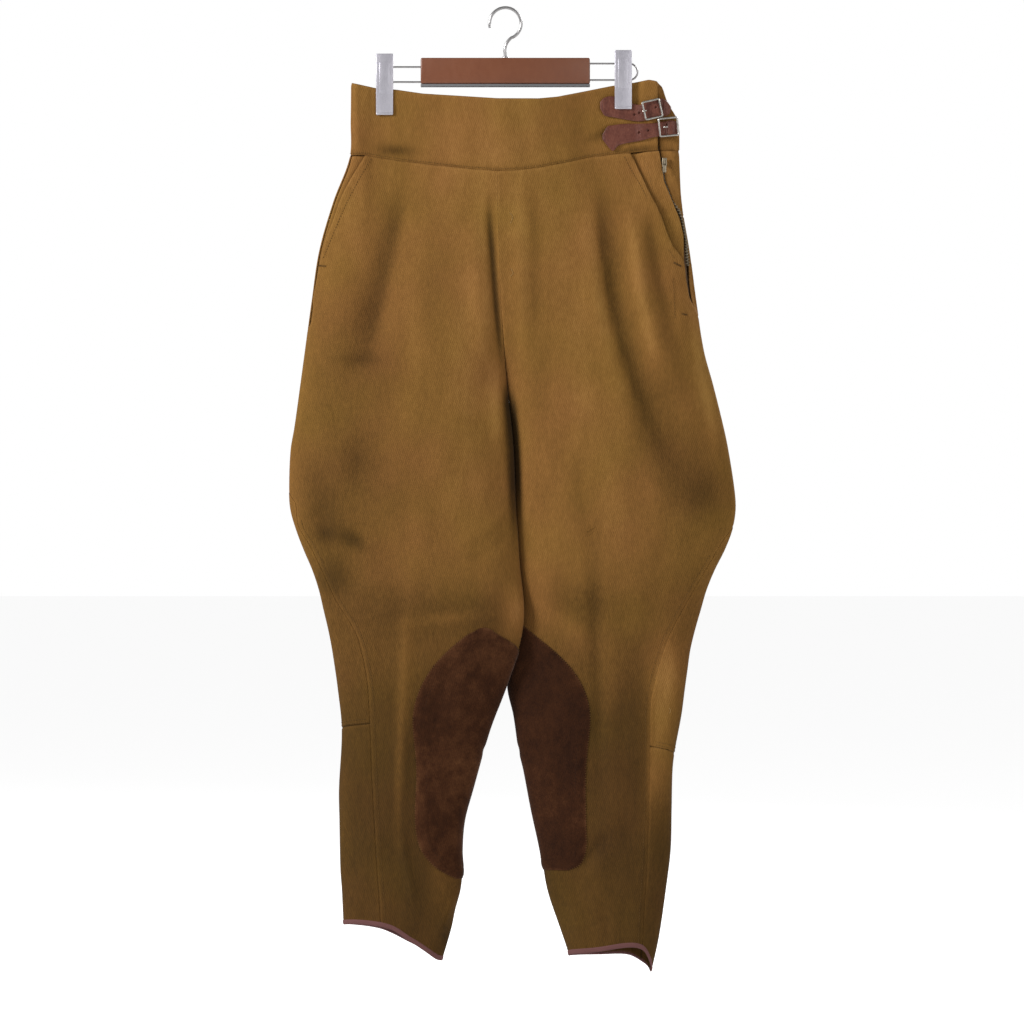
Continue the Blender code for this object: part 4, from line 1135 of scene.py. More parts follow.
        self.panel("right_pocket_facing", Leg.RIGHT, (right_edge, lambda drop: np.full_like(drop, 0.493)),
                   (lambda turn, drop: self.band_edge(self.band_bottom, Leg.RIGHT, turn, drop) + 0.3,
                    lambda turn, drop: np.full_like(drop, 340.0)), 20, 84,
                   lambda turn, drop: np.full_like(drop, -(CLOTH + 0.5)), 0.2)

        def left_out(turn: Array, drop: Array) -> Array:
            away = left.skin(turn, drop)[..., 0] - left.border.straight(drop)
            return -(CLOTH + 1.2) * (1 - 0.85 * smoothstep(4, 22, away))

        self.panel("left_pocket_facing", Leg.LEFT,
                   (lambda drop: left.turn_at(left.border.straight(drop) - 9, drop),
                    lambda drop: left.turn_at(self.zip_line.straight(drop), drop)),
                   (lambda turn, drop: self.band_edge(self.band_bottom, Leg.LEFT, turn, drop) + 0.3,
                    lambda turn, drop: np.full_like(drop, 272.0)), 24, 60, left_out, 0.4)

    def build_waistband(self) -> None:
        """Makes the waistband from its front end round the right side to its back end."""
        left, right = self.legs[Leg.LEFT], self.legs[Leg.RIGHT]
        back_end = Curve([(76, 160.5), (97, 160.5), (118, 161.0), (150, 162.5)])

        def place_at(s: Array, v: Array) -> tuple[Array, Array, Array]:
            """Leg (1 left, 0 right), turn and drop of each point."""
            drop = 77 + 80 * v
            for _ in range(7):
                start = left.turn_at(np.full_like(drop, 160.5), drop)
                stop = left.turn_at(back_end.straight(drop), drop)
                on_front = s < 0.24
                on_back = s > 0.76
                far = np.sin(math.pi * start) ** 2 * np.clip(1 - s / 0.24, 0, 1)
                half = np.clip(abs((s - 0.5) / 0.26), 0, 1)
                natural = np.arcsin(np.sqrt(np.clip(1 - half**2, 0, 1))) / math.pi
                turn = np.where(on_front, np.arcsin(np.sqrt(far)) / math.pi,
                                np.where(s < 0.5, natural, 1 - natural))
                turn = np.where(on_back, 1 - (s - 0.76) / 0.24 * (1 - stop), turn)
                is_left = on_front | on_back
                edges = []
                for table in (self.band_top, self.band_bottom):
                    edges.append(np.where(is_left, self.band_edge(table, Leg.LEFT, turn, drop),
                                          self.band_edge(table, Leg.RIGHT, turn, drop)))
                drop = edges[0] + (edges[1] - edges[0]) * v
            return is_left, turn, drop

        def place(s: Array, v: Array) -> Array:
            is_left, turn, drop = place_at(s, v)
            out = rolled(v, 75, 2.0, 0.8) + rolled(s, 700, 1.8, 0.5)
            out = out + 0.35 * np.sin(s * 61) * np.sin(v * math.pi) + 0.3 * np.sin(s * 143 + 2 * v)
            out = out - 2.7 * smoothstep(0.968, 0.98, s)
            for x, z, slope, wide, tall, deep in ((0.05, 0.30, 0.8, 0.025, 0.05, 0.9),
                                                  (0.075, 0.62, 2.2, 0.03, 0.05, 0.9),
                                                  (0.35, 0.30, -1.5, 0.04, 0.07, 0.8),
                                                  (0.40, 0.60, 1.0, 0.05, 0.06, 0.7),
                                                  (0.17, 0.70, -0.8, 0.05, 0.06, 0.6),
                                                  (0.66, 0.5, 1.2, 0.06, 0.08, 0.9)):
                out = out - deep * np.exp(-(((s - x) / wide) ** 2) - ((v - z - slope * (s - x)) / tall) ** 2)
            spots = np.where(is_left[:, None], left.place(turn, drop, out), right.place(turn, drop, out))
            return spots

        def tone(s: Array, v: Array) -> Array:
            is_left, turn, drop = place_at(s, v)
            # Painted shade: darker along the band's lower edge, in a crease near its front end and just under
            # the lower strap; one more darker patch lies on the right side.
            total = 0.01 + 0.03 * np.sin(s * 37) - 0.1 * np.exp(-((1 - v) * 75 / 4) ** 2)
            for x, z, slope, wide, tall, deep in ((0.075, 0.66, 2.2, 0.03, 0.07, 0.22),
                                                  (0.36, 0.86, 0.6, 0.03, 0.08, 0.30),
                                                  (0.03, 0.95, 0.0, 0.03, 0.05, 0.2)):
                total = total - deep * np.exp(-(((s - x) / wide) ** 2)
                                              - ((v - z - slope * (s - x)) / tall) ** 2)
            return total

        Drape("waistband", "twill", ("waistband",), 420, 26, mirrored=True).make(place, tone,
                                                                                down=eased(26, 0.5))

    def build_allowances(self) -> None:
        """Makes the strips of cloth inside the centre seams."""
        for name, middle in (("front_allowance", 0.0), ("back_allowance", 1.0)):
            def place(s: Array, v: Array, middle: float = middle) -> Array:
                drop = 176 + 236 * v
                sides = []
                for leg in Leg:
                    surface = self.legs[leg]
                    away = abs(s - 0.5) * 14
                    turn = surface.turn_at(surface.inner.at(drop) + leg.value * away, drop)
                    turn = turn if middle == 0.0 else 1 - turn
                    sides.append(surface.place(turn, drop, np.full_like(drop, -CLOTH - 0.3)))
                return np.where((s < 0.5)[:, None], sides[0], sides[1])

            Drape(name, "twill", (), 8, 60, wall=0.8, mirrored=middle == 1.0).make(
                place, lambda s, v: np.full_like(s, -0.2))

    def build(self) -> None:
        """Makes every twill piece and the hem tapes."""
        for leg in Leg:
            self.build_leg(leg)
        self.build_allowances()
        self.build_facings()
        self.build_waistband()


@dataclass
class Patches:
    """The suede patches at the insides of the knees."""

    legs: dict[Leg, LegSurface]
    right_front: Curve = Curve([(653, -31), (657, -39), (662, -46), (677, -64), (696, -80), (720, -92),
                                (744, -97.5), (775, -95), (803, -93), (840, -95), (865, -94), (885, -89),
                                (899, -78), (908, -64), (914, -52)])
    right_back: Curve = Curve([(653, 0.13), (661, 0.098), (671, 0.04), (676, 0), (684, -0.06),
                               (698, -0.125), (713, -0.16), (755, -0.187), (805, -0.184), (860, -0.163),
                               (896, -0.14), (914, -0.07)])
    left_front: Curve = Curve([(647, 18), (651, 22), (667, 42), (680, 58), (692, 69), (712, 82),
                               (740, 89.5), (773, 87), (801, 84.5), (857, 85), (886, 85.5), (895, 82),
                               (901, 76), (905, 66)])
    left_back: Curve = Curve([(647, -0.02), (652, -0.07), (670, -0.133), (703, -0.175), (745, -0.19),
                              (790, -0.194), (845, -0.186), (890, -0.163), (905, -0.09)])
    lift: float = 1.3

    def borders(self, leg: Leg, drop: Array) -> tuple[Array, Array]:
        """Turns of the back and front borders at each drop."""
        front, back = (self.right_front, self.right_back) if leg is Leg.RIGHT else (self.left_front,
                                                                                    self.left_back)
        end = np.minimum(drop - front.rows[0][0], front.rows[-1][0] - drop)
        blend = smoothstep(2, 26, end)
        round_front = front.at(drop) * (1 - blend) + front.soft(drop, 13.0) * blend
        round_back = back.at(drop) * (1 - blend) + back.soft(drop, 13.0) * blend
        return round_back, self.legs[leg].turn_at(round_front, drop)

    def build(self) -> None:
        """Makes both patches."""
        for leg, first, last in ((Leg.RIGHT, 653.0, 914.0), (Leg.LEFT, 647.0, 905.0)):
            surface = self.legs[leg]

            def place(s: Array, v: Array, leg: Leg = leg, surface: LegSurface = surface,
                      first: float = first, last: float = last) -> Array:
                drop = first + (last - first) * v
                low, high = self.borders(leg, drop)
                wide = np.maximum(abs(high - low) * 300, 2.0)
                near = np.minimum(np.minimum(s, 1 - s) * wide, np.minimum(v, 1 - v) * (last - first))
                out = self.lift - 0.75 * np.exp(-(near / 1.8) ** 2)
                out = out + 0.35 * smoothstep(16, 9, near) * smoothstep(2, 5, near)
                out = out - 0.25 * np.exp(-(((near - 11) / 1.0) ** 2))
                crease = np.exp(-(((drop - 776 - 4 * np.sin(low * 0 + s * 5)) / 4.5) ** 2))
                out = out - 0.9 * crease * smoothstep(0, 0.3, s) * smoothstep(1, 0.7, s)
                drop = drop - 3.0 * (1 - (2 * s - 1) ** 2) * np.exp(-(drop - first) / 7)
                return surface.place(low + (high - low) * s, drop, out)

            def tone(s: Array, v: Array, leg: Leg = leg, first: float = first, last: float = last) -> Array:
                drop = first + (last - first) * v
                low, high = self.borders(leg, drop)
                wide = np.maximum(abs(high - low) * 300, 2.0)
                near = np.minimum(np.minimum(s, 1 - s) * wide, np.minimum(v, 1 - v) * (last - first))
                # The right patch is painted a little paler and the left a little darker; each is paler along
                # its edge, and painted shade lies in the groove of the inner stitch row.
                shade = 0.05 if leg is Leg.RIGHT else -0.08
                return (shade + 0.12 * np.exp(-(near / 2.0) ** 2) + 0.05 * np.sin(drop / 31)
                        - 0.04 * np.exp(-(((near - 11) / 1.2) ** 2)))

            side = leg.name.lower()
            Drape(f"{side}_knee_patch", "suede", (f"{side}_knee_patch",), 110, 170, wall=SUEDE,
                  mirrored=leg is Leg.RIGHT).make(place, tone, eased(110, 0.5), eased(170, 0.6))


def rod(name: str, points: Sequence[Vector], radius: float, finish: str, nodes: Sequence[str] = (),
        body: str = BODY, cyclic: bool = False, sides: int = 3) -> bpy.types.Object:
    """A smooth round rod through points, made as a curve and turned into a mesh.

    Args:
        name: Name of the piece.
        points: Its line, in millimetres.
        radius: Its radius, in millimetres.
        finish: Key of its material.
        nodes: CAD nodes that it stands for.
        body: Body that it rides.
        cyclic: Whether it is a closed loop.
        sides: Bevel resolution.

    Returns:
        The piece.
    """
    curve = bpy.data.curves.new(name, "CURVE")
    curve.dimensions = "3D"
    curve.bevel_depth = radius * MM
    curve.bevel_resolution = sides
    curve.use_fill_caps = True
    curve.resolution_u = 6
    spline = curve.splines.new("BEZIER")
    spline.bezier_points.add(len(points) - 1)
    for target, point in zip(spline.bezier_points, points):
        target.co = Vector(point) * MM
        target.handle_left_type = target.handle_right_type = "VECTOR" if cyclic else "AUTO"
    spline.use_cyclic_u = cyclic
    holder = bpy.data.objects.new(name + "_line", curve)
    bpy.context.scene.collection.objects.link(holder)
    bpy.context.view_layer.update()
    graph = bpy.context.evaluated_depsgraph_get()
    mesh = bmesh.new()
    mesh.from_mesh(holder.evaluated_get(graph).to_mesh())
    bpy.data.objects.remove(holder)
    bmesh.ops.remove_doubles(mesh, verts=mesh.verts[:], dist=1e-6)
    bmesh.ops.recalc_face_normals(mesh, faces=mesh.faces[:])
    return to_object(name, mesh, finish, nodes, body)


def add_block(mesh: bmesh.types.BMesh, low: Sequence[float], high: Sequence[float], bevel: float,
              turned: Matrix = Matrix.Identity(4), origin: Sequence[float] = (0, 0, 0)) -> None:
    """Adds a block with rounded edges, given by opposite corners about an origin, in millimetres.

    Args:
        mesh: Mesh that it is added to.
        low: Lowest corner.
        high: Highest corner.
        bevel: Radius of its edges.
        turned: Turn about the origin.
        origin: Where the origin is.
    """
    low, high, origin = Vector(low), Vector(high), Vector(origin)
    place = (Matrix.Scale(MM, 4) @ Matrix.Translation(origin) @ turned
             @ Matrix.Translation((low + high) / 2) @ Matrix.Diagonal((*(high - low), 1.0)))
    made = bmesh.ops.create_cube(mesh, size=1.0, matrix=place)
    edges = list({edge for vert in made["verts"] for edge in vert.link_edges})
    bmesh.ops.bevel(mesh, geom=edges, offset=bevel * MM, segments=2, profile=0.5, affect="EDGES",
                    material=-1)


@dataclass
class Fastenings:
    """The zip, the leather straps and their buckles at the wearer's left hip."""

    trousers: Trousers
    slider: tuple[float, float] = (167.2, 161.0)
    deep: float = -(2 * CLOTH + 1.8)

    @property
    def left(self) -> LegSurface:
        """The left leg's surface."""
        return self.trousers.legs[Leg.LEFT]

    def spot(self, across: float, drop: float, out: float) -> Vector:
        """One point on the front of the left leg."""
        where, down = np.array([across], float), np.array([drop], float)
        return Vector(self.left.place(self.left.turn_at(where, down), down, np.array([out]))[0])

    def build_zip(self) -> None:
        """Makes the zip's tape, teeth, slider and pull tab."""
        left, line = self.left, self.trousers.zip_line

        def tape(s: Array, v: Array) -> Array:
            drop = 144 + 184 * v
            return left.place(left.turn_at(line.straight(drop) - 5 + 10 * s, drop), drop,
                              np.full_like(drop, self.deep))

        Drape("zip_tape", "zip_tape", ("zip_tape",), 8, 60, wall=0.8).make(tape)
        mesh = bmesh.new()
        for k in range(64):
            drop = 171.5 + 1.55 * k
            side = 0.6 if k % 2 else -0.6
            shown = float(smoothstep(200, 214, np.array(drop)))
            across = float(line.at(np.array([drop]))[0]) + 1.0 + 2.4 * shown + side
            add_block(mesh, (-1.3, -0.7, -0.45), (1.3, 0.7, 0.45), 0.15,
                      origin=self.spot(across, drop, -4.2 + 2.4 * shown))
        to_object("zip_teeth", mesh, "zip_metal", ("zip_chain",))
        seat = self.spot(*self.slider, 1.2)
        mesh = bmesh.new()
        add_block(mesh, (-2.5, -1.2, -4.2), (2.5, -0.3, 4.2), 0.4, origin=seat)
        add_block(mesh, (-2.3, -0.4, -3.6), (-1.3, 1.2, 4.2), 0.25, origin=seat)
        add_block(mesh, (1.3, -0.4, -3.6), (2.3, 1.2, 4.2), 0.25, origin=seat)
        for low, high in (((-0.8, -4.1, 3.0), (0.8, -1.0, 3.8)), ((-0.8, -4.1, -3.0), (0.8, -1.0, -2.2)),
                          ((-0.8, -4.1, -3.0), (0.8, -3.3, 3.8))):
            add_block(mesh, low, high, 0.25, origin=seat)
        to_object("slider_body", mesh, "zip_metal", ("zip_slider",))
        hinge = seat + Vector((0, -2.35, 2.2))
        mesh = bmesh.new()
        for low, high in (((-1.9, -0.5, -0.5), (1.9, 0.5, 0.5)), ((-1.9, -0.5, -6.4), (-1.2, 0.5, 0.5)),
                          ((1.2, -0.5, -6.4), (1.9, 0.5, 0.5)), ((-1.9, -0.5, -13.4), (1.9, 0.5, -5.8))):
            add_block(mesh, low, high, 0.25, origin=hinge)
        to_object("slider_tab", mesh, "zip_metal", ("zip_pull_tab",), TAB_BODY)

    def strap(self, name: str, rows: Sequence[tuple[float, float, float]], holes: Sequence[tuple[float, float]],
              out: float) -> None:
        """Makes a leather strap with punched holes.

        Args:
            name: Name of the strap and of its CAD node.
            rows: Across, upper edge drop and lower edge drop of each station.
            holes: Across and drop of each hole.
            out: Distance of its outer face off the cloth.
        """
        left = self.left
        upper, lower = Curve([(r[0], r[1]) for r in rows]), Curve([(r[0], r[2]) for r in rows])
        first, last = rows[0][0], rows[-1][0]

        def place(s: Array, v: Array) -> Array:
            across = first + (last - first) * s
            high, low = upper.at(across), lower.at(across)
            drop = high + (low - high) * v
            near = np.minimum(np.minimum(s, 1 - s) * (last - first), np.minimum(v, 1 - v) * (low - high))
            lift = out - 0.6 * np.exp(-(near / 0.9) ** 2) - 0.25 * np.exp(-(((near - 2.6) / 0.5) ** 2))
            for x, z in holes:
                gap = np.hypot(across - x, drop - z)
                lift = lift - 1.6 * smoothstep(1.5, 0.7, gap) + 0.15 * np.exp(-(((gap - 1.9) / 0.5) ** 2))
            return left.place(left.turn_at(across, drop), drop, lift)

        Drape(name, "leather", (name,), 120, 40, wall=STRAP, sheet=False).make(
            place, None, eased(120, 0.3), eased(40, 0.5))

    def buckle(self, side: str, across: float, drop: float, wide: float, tall: float, lean: float,
               shown: tuple[float, float]) -> None:
        """Makes a wire buckle frame and its prong.

        Args:
            side: Start of the names of both pieces.
            across: X of its middle.
            drop: Drop of its middle.
            wide: Outer width.
            tall: Outer height.
            lean: Turn about the line of sight, in degrees.
            shown: Ends of the part of the prong above the strap, as shares of its reach.
        """
        turned = Matrix.Rotation(math.radians(lean), 4, "Y") @ Matrix.Rotation(math.radians(4), 4, "Z")
        seat = self.spot(across, drop, 0.0)
        seat.y -= 0.9 + STRAP + 2.0
        points = []
        radius = 1.2
        for cx, cz in ((1, 1), (-1, 1), (-1, -1), (1, -1)):
            start = math.atan2(cz, cx) - math.pi / 4
            for k in range(5):
                a = start + k * math.pi / 8
                spot = Vector((cx * (wide / 2 - radius) + radius * math.cos(a), 0,
                               cz * (tall / 2 - radius) + radius * math.sin(a)))
                points.append(turned @ spot + seat)
        rod(f"{side}_frame", points, 1.1, "buckle_metal", (f"{side}_buckle_frame",), cyclic=True)
        reach = wide / 2 + 1.6
        line = [(reach * shown[0], -0.9), (reach * sum(shown) / 2, -2.0), (reach * shown[1], -1.2)]
        rod(f"{side}_pin", [turned @ Vector((px, py, 0)) + seat for px, py in line], 0.8, "buckle_metal",
            (f"{side}_prong",))

    def build(self) -> None:
        """Makes the zip, then each strap with its buckle."""
        self.build_zip()
        self.strap("upper_strap", [(99.5, 98, 105), (104, 93.5, 112), (113, 92, 114), (126, 97, 116.5),
                                   (141, 101, 118.5), (150, 98, 117), (158, 95, 114.5), (165, 94.5, 113)],
                   [(136.1, 111.3), (141.5, 109.6), (158.1, 103.7)], 2.6)
        self.strap("lower_strap", [(102, 132.5, 137.5), (107, 124, 144), (113, 122.5, 149.5),
                                   (119, 121.5, 144), (130, 120.8, 141), (142, 120.8, 139),
                                   (157, 120.3, 135), (170.2, 118.0, 133.2)],
                   [(141.2, 130.2), (150.2, 128.1), (170.1, 121.8)], 2.6)
        self.strap("upper_chape", [(165.2, 95, 113), (168, 97, 113), (170.6, 100, 112),
                                   (173, 104, 110)], [], 2.6)
        self.strap("lower_chape", [(170.4, 117.5, 133), (174, 117.5, 133.5), (178, 118.5, 133.5),
                                   (181, 122, 131)], [], 2.6)
        self.buckle("upper", 154.5, 106, 18, 18.5, -13, (-1.0, -0.62))
        self.buckle("lower", 171.5, 124.5, 19.5, 18.5, -6, (-0.45, -0.1))


@dataclass
class Sewing:
    """Stitches, each a tiny capsule, joined into one piece for each seam or edge."""

    trousers: Trousers
    patches: Patches
    pitch: float = 3.1
    length: float = 2.7
    radius: float = 0.22

    def run(self, mesh: bmesh.types.BMesh, points: Array, pitch: float | None = None,
            length: float | None = None, across: Array | None = None) -> None:
        """Adds stitches along a line.

        Args:
            mesh: Mesh that they are added to.
            points: The line, as dense points in millimetres.
            pitch: Distance between stitches, or nothing for the usual one.
            length: Length of a stitch, or nothing for the usual one.
            across: The direction of each point's stitch, or nothing to lie along the line.
        """
        pitch, length = pitch or self.pitch, length or self.length
        steps = np.linalg.norm(np.diff(points, axis=0), axis=1)
        reach = np.concatenate([[0.0], np.cumsum(steps)])
        for where in np.arange(pitch / 2, reach[-1], pitch):
            spot = np.array([np.interp(where, reach, points[:, i]) for i in range(3)])
            ahead = np.array([np.interp(where + 0.8, reach, points[:, i]) for i in range(3)]) - spot
            if across is not None:
                ahead = np.array([np.interp(where, reach, across[:, i]) for i in range(3)])
            if np.linalg.norm(ahead) < 1e-6:
                continue
            turned = Vector(ahead).to_track_quat("X", "Z").to_matrix().to_4x4()
            size = Matrix.Diagonal((length / 2, self.radius, self.radius, 1.0))
            place = Matrix.Scale(MM, 4) @ Matrix.Translation(Vector(spot)) @ turned @ size
            bmesh.ops.create_icosphere(mesh, subdivisions=1, radius=1.0, matrix=place)

    def on_front(self, leg: Leg, places: Sequence[tuple[float, float]], out: float = 0.35) -> Array:
        """Points along a smooth line through (across, drop) places on the front of a leg."""
        surface = self.trousers.legs[leg]
        rows = np.array(places, float)
        gaps = np.concatenate([[0.0], np.cumsum(np.hypot(*np.diff(rows, axis=0).T))])
        count = max(int(gaps[-1] / 1.5), 4)
        where = np.linspace(0, gaps[-1], count)
        across = Curve(list(zip(gaps, rows[:, 0]))).at(where)
        drop = Curve(list(zip(gaps, rows[:, 1]))).at(where)
        return surface.place(surface.turn_at(across, drop), drop, np.full_like(drop, out))

    def bar(self, mesh: bmesh.types.BMesh, leg: Leg, first: tuple[float, float],
            last: tuple[float, float]) -> None:
        """Adds a bar tack: short stitches side by side between two places on the front."""
        points = self.on_front(leg, [first, last], 0.5)
        side = np.cross(points[-1] - points[0], (0.0, 1.0, 0.0))
        self.run(mesh, points, 0.6, 2.4, np.tile(side, (len(points), 1)))

    def build_pockets(self) -> None:
        """Makes the stitches of both pockets, the zip's opening and the bar tacks."""
        mesh = bmesh.new()
        for leg, places in (
            (Leg.RIGHT, [(-140.7, 157), (-156.5, 184), (-169, 209), (-179.6, 234), (-191, 262)]),
            (Leg.LEFT, [(125, 155), (132.5, 170), (142, 186), (154.5, 212), (167, 246), (178, 263)]),
            (Leg.LEFT, [(142.8, 154), (149, 166), (155.4, 191), (163, 206)]),
            (Leg.LEFT, [(176, 283), (177, 300), (178, 326)]),
        ):
            self.run(mesh, self.on_front(leg, places))
        self.bar(mesh, Leg.RIGHT, (-196, 270), (-188, 271))
        self.bar(mesh, Leg.LEFT, (176.5, 267), (185, 271))
        self.bar(mesh, Leg.LEFT, (185, 321), (191, 322))
        to_object("pocket_stitches", mesh, "thread")
        mesh = bmesh.new()
        for leg, places in ((Leg.LEFT, [(4.5, 215), (7.5, 219), (5.5, 226)]), (Leg.LEFT, [(6, 274), (8, 279), (5.5, 282)]),
                            (Leg.LEFT, [(172, 735), (173.5, 738), (171.5, 741)])):
            self.run(mesh, self.on_front(leg, places, 0.5), 1.6, 1.9)
        to_object("loose_stitches", mesh, "pale_thread")

    def build_seams(self) -> None:
        """Makes the rows along the waistband, the outer seams and the seams across them."""
        mesh = bmesh.new()
        for leg in Leg:
            surface = self.trousers.legs[leg]
            for first, last in ((0.0, 0.5), (0.5, 1.0)):
                stop = 0.365 if leg is Leg.LEFT and first == 0.0 else last - 0.006
                turn = np.linspace(first, stop, 300)
                drop = self.trousers.band_edge(self.trousers.band_bottom, leg, turn,
                                               np.full_like(turn, 160.0)) - 2.2
                self.run(mesh, surface.place(turn, drop, np.full_like(drop, 0.3)))
            start = self.trousers.panel_start[leg] + 30
            drop = np.linspace(start, 952 if leg is Leg.RIGHT else 985, 320)
            for back in (False, True):
                across = surface.border.at(drop) - leg.value * 5.0
                turn = surface.turn_at(across, drop)
                self.run(mesh, surface.place(1 - turn if back else turn, drop, np.full_like(drop, 0.3)))
            cross, slant = self.trousers.cross_seam[leg]
            for away in (5.5, 2.0):
                edge = float(surface.border_turn(np.array([cross]))[0])
                turn = np.linspace(edge + 0.012, 1 - edge - 0.012, 60)
                drop = cross - slant * abs(turn - 0.5) / 0.13 - away
                self.run(mesh, surface.place(turn, drop, np.full_like(drop, 0.3)))
        to_object("seam_stitches", mesh, "thread")

    def build_patches(self) -> None:
        """Makes the overcast edge of each patch and the row of stitches inside it."""
        for leg, first, last in ((Leg.RIGHT, 653.0, 914.0), (Leg.LEFT, 647.0, 905.0)):
            surface = self.trousers.legs[leg]
            for name, finish, inset, pitch, length in (("edge", "thread", 0.4, 2.6, 2.4),
                                                       ("inner", "dark_thread", 11.0, 3.0, 2.4)):
                mesh = bmesh.new()
                drop = np.linspace(first + inset, last - inset, 400)
                low, high = self.patches.borders(leg, drop)
                for border, sign in ((high, -1), (low, 1)):
                    edge = surface.place(border, drop, np.full_like(drop, 1.3))
                    inner = surface.place(border + sign * 0.01, drop, np.full_like(drop, 1.3))
                    inwards = inner - edge
                    tangent = np.gradient(edge, axis=0)
                    tangent /= np.linalg.norm(tangent, axis=1, keepdims=True)
                    inwards -= tangent * (inwards * tangent).sum(axis=1, keepdims=True)
                    inwards /= np.maximum(np.linalg.norm(inwards, axis=1, keepdims=True), 1e-6)
                    if inset < 1:
                        self.run(mesh, edge + inwards * 0.3, pitch, length, inwards + 0.25 * tangent)
                    else:
                        near = edge + inwards * inset
                        self.run(mesh, near, pitch, length)
                to_object(f"{leg.name.lower()}_patch_{name}_stitches", mesh, finish)

    def build(self) -> None:
        """Makes all the sewing."""
        self.build_pockets()
        self.build_seams()
        self.build_patches()


@dataclass(frozen=True)
class ClipSize:
    """One trouser clip: its side, the drops of its ends and of the upper wire, and its extra opening."""

    side: str
    across: float
    top: float
    low: float
    over_wire: float
    extra: float


@dataclass
class Hanger:
    """The trouser hanger: wooden bar, strip, wires, clips and hook."""

    half: float = 89.0
    top: float = 51.5
    bottom: float = 78.6
    depth: float = 12.0
    wire: float = 1.0
    clips: tuple[ClipSize, ...] = (ClipSize("right", -127.0, 47.0, 111.0, 59.4, 0.0),
                                   ClipSize("left", 124.0, 43.5, 105.0, 55.8, 2.6))

    def build_bar(self) -> None:
        """Makes the wooden bar and the grey strip under it."""
        mesh = bmesh.new()
        add_block(mesh, (-self.half, -self.depth / 2, -self.bottom), (self.half, self.depth / 2, -self.top),
                  1.6)
        to_object("wooden_bar", mesh, "bar_wood", ("hanger_bar",))
        mesh = bmesh.new()
        add_block(mesh, (-self.half, -5, -self.bottom - 3.3), (self.half, 5, -self.bottom - 0.3), 0.6)
        to_object("lower_strip", mesh, "bar_strip", ("hanger_strip",))

    def build_wires(self) -> None:
        """Makes the two wire loops that carry the clips."""
        for side, sign, upper, lower, far in (("right", -1, 60.9, 76.7, 135), ("left", 1, 57.3, 74.6, 139)):
            radius = (lower - upper) / 2
            bend = sign * (far - radius)
            middle = -(upper + lower) / 2
            points = [Vector((sign * x, 0, -upper)) for x in (82, 95, 110, 122)]
            for k in range(9):
                a = math.pi / 2 - math.pi * k / 8
                points.append(Vector((bend + sign * radius * math.cos(a), 0, middle + radius * math.sin(a))))
            points += [Vector((sign * x, 0, -lower)) for x in (122, 110, 95, 82)]
            rod(f"{side}_loop", points, self.wire, "wire_metal", (f"{side}_wire",))

    def build_clips(self) -> None:
        """Makes the plates of both clips, with turned sides, a rounded rib and a lip at the jaw."""
        for clip in self.clips:
            for face, sign, extra in (("front", -1, clip.extra), ("back", 1, 0.0)):
                y = sign * (2.7 + 0.75 + extra + 0.6)
                mesh = bmesh.new()
                add_block(mesh, (-9, -0.55, -clip.low), (9, 0.55, -clip.top), 0.5,
                          origin=(clip.across, y, 0))
                for x in (-8.4, 7.2):
                    inner = -sign * 1.2
                    low, high = sorted((0.0, inner))
                    add_block(mesh, (x, low, -clip.over_wire), (x + 1.2, high, -clip.top - 3), 0.3,
                              origin=(clip.across, y, 0))
                low, high = sorted((0.0, sign * 0.75))
                add_block(mesh, (-5.5, low, -clip.low + 22), (5.5, high, -clip.top - 9), 0.36,
                          origin=(clip.across, y, 0))
                low, high = sorted((-sign * 0.5, sign * 0.9))
                add_block(mesh, (-8.9, low, -clip.low - 0.6), (8.9, high, -clip.low + 2.0), 0.6,
                          origin=(clip.across, y, 0))
                to_object(f"{clip.side}_plate_{face}", mesh, "clip_metal", (f"{clip.side}_clip_{face}",))
            mesh = bmesh.new()
            add_block(mesh, (-8, -3.15 - clip.extra, -clip.over_wire), (8, 3.15, -clip.top - 1), 0.8,
                      origin=(clip.across, 0, 0))
            to_object(f"{clip.side}_spring", mesh, "clip_metal", (f"{clip.side}_clip_core",))

    def build_hook(self) -> None:
        """Makes the swivel hook."""
        reach = 16.6
        points = [Vector((0, 0, -62)), Vector((0, 0, -50)), Vector((0, 0, -2 * reach - 6))]
        for k in range(21):
            a = math.radians(-70 + 266 * k / 20)
            points.append(Vector((reach * math.cos(a), 0, -15 + reach * math.sin(a))))
        rod("hook_wire", points, 1.6, "wire_metal", ("hook",), sides=5)
        mesh = bmesh.new()
        bmesh.ops.create_cone(mesh, cap_ends=True, segments=32, radius1=3.6 * MM, radius2=3.2 * MM,
                              depth=1.4 * MM, matrix=Matrix.Translation((0, 0, -(self.top - 0.7) * MM)))
        edges = [edge for edge in mesh.edges if edge.calc_face_angle(0) > 1]
        bmesh.ops.bevel(mesh, geom=edges, offset=0.3 * MM, segments=2, profile=0.5, affect="EDGES",
                        material=-1)
        to_object("hook_collar", mesh, "wire_metal")

    def build(self) -> None:
        """Makes the whole hanger."""
        self.build_bar()
        self.build_wires()
        self.build_clips()
        self.build_hook()


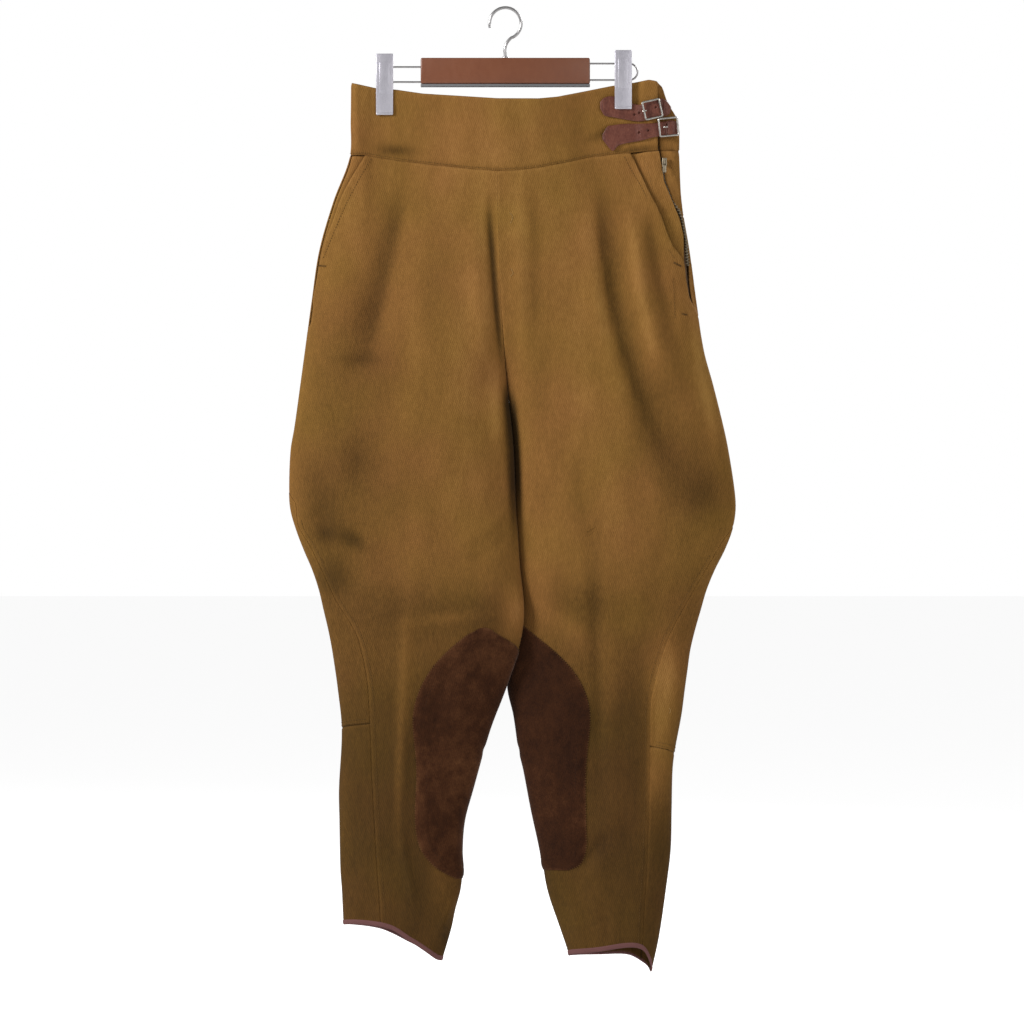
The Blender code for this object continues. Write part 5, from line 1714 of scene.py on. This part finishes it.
@dataclass
class Studio:
    """A pale floor, soft lamps and the camera of the photograph."""

    floor_drop: float = 1.06
    distance: float = 6.0
    lens: float = 200.5
    ambient: float = 0.28
    floor_glow: float = 0.72

    def lamp(self, name: str, place: Sequence[float], size: float, watts: float) -> None:
        """Adds a square lamp that faces the garment."""
        data = bpy.data.lights.new(name, "AREA")
        data.size, data.energy = size, watts
        lamp = bpy.data.objects.new(name, data)
        lamp.location = place
        lamp.rotation_euler = (Vector((0, 0, -0.5)) - lamp.location).to_track_quat("-Z", "Y").to_euler()
        bpy.context.scene.collection.objects.link(lamp)

    def build(self) -> None:
        """Makes the floor, the lamps, the surroundings and the camera."""
        mesh = bmesh.new()
        bmesh.ops.create_grid(mesh, x_segments=1, y_segments=1, size=30,
                              matrix=Matrix.Translation((0, 0, -self.floor_drop)))
        data = bpy.data.meshes.new("floor")
        mesh.to_mesh(data)
        mesh.free()
        pale = bpy.data.materials.new("floor_paint")
        pale.use_nodes = True
        shader = pale.node_tree.nodes["Principled BSDF"]
        shader.inputs["Base Color"].default_value = (0.82, 0.82, 0.82, 1)
        shader.inputs["Roughness"].default_value = 0.9
        shader.inputs["Emission Color"].default_value = (1, 1, 1, 1)
        seen = add_node(pale.node_tree, "LightPath", None, {}).outputs["Is Camera Ray"]
        glow = calc(pale.node_tree, "MULTIPLY", seen, self.floor_glow)
        pale.node_tree.links.new(glow, shader.inputs["Emission Strength"])
        data.materials.append(pale)
        floor = bpy.data.objects.new("floor", data)
        bpy.context.scene.collection.objects.link(floor)
        self.lamp("key", (-2.5, -1.3, 0.9), 0.8, 82)
        self.lamp("fill", (1.9, -2.0, 0.2), 2.0, 22)
        self.lamp("back_light", (1.6, 1.9, 1.0), 1.2, 50)
        world = bpy.data.worlds.new("studio")
        world.use_nodes = True
        sky = world.node_tree.nodes["Background"]
        sky.inputs["Color"].default_value = (1, 1, 1, 1)
        seen = add_node(world.node_tree, "LightPath", None, {}).outputs["Is Camera Ray"]
        level = calc(world.node_tree, "MULTIPLY_ADD", seen, 1.0 - self.ambient, self.ambient)
        world.node_tree.links.new(level, sky.inputs["Strength"])
        bpy.context.scene.world = world
        bpy.context.scene.view_settings.view_transform = "Standard"
        camera = bpy.data.cameras.new("camera")
        camera.lens = self.lens
        camera.sensor_width = 36
        holder = bpy.data.objects.new("camera", camera)
        holder.location = (0.007, -self.distance, -0.529)
        holder.rotation_euler = (math.pi / 2, 0, 0)
        bpy.context.scene.collection.objects.link(holder)
        bpy.context.scene.camera = holder


def main() -> None:
    """Builds every piece in order and notes the sizes."""
    logging.basicConfig(level=logging.INFO, format="%(message)s")
    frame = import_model()
    LOG.info("frame: %d nodes", len(frame["nodes"]))
    Studio().build()
    legs = {leg: leg_surface(leg) for leg in Leg}
    trousers = Trousers(legs)
    LOG.info("building the twill")
    trousers.build()
    LOG.info("building the patches")
    patches = Patches(legs)
    patches.build()
    LOG.info("building the fastenings")
    Fastenings(trousers).build()
    LOG.info("building the sewing")
    Sewing(trousers, patches).build()
    LOG.info("building the hanger")
    Hanger().build()


if __name__ == "__main__":
    main()
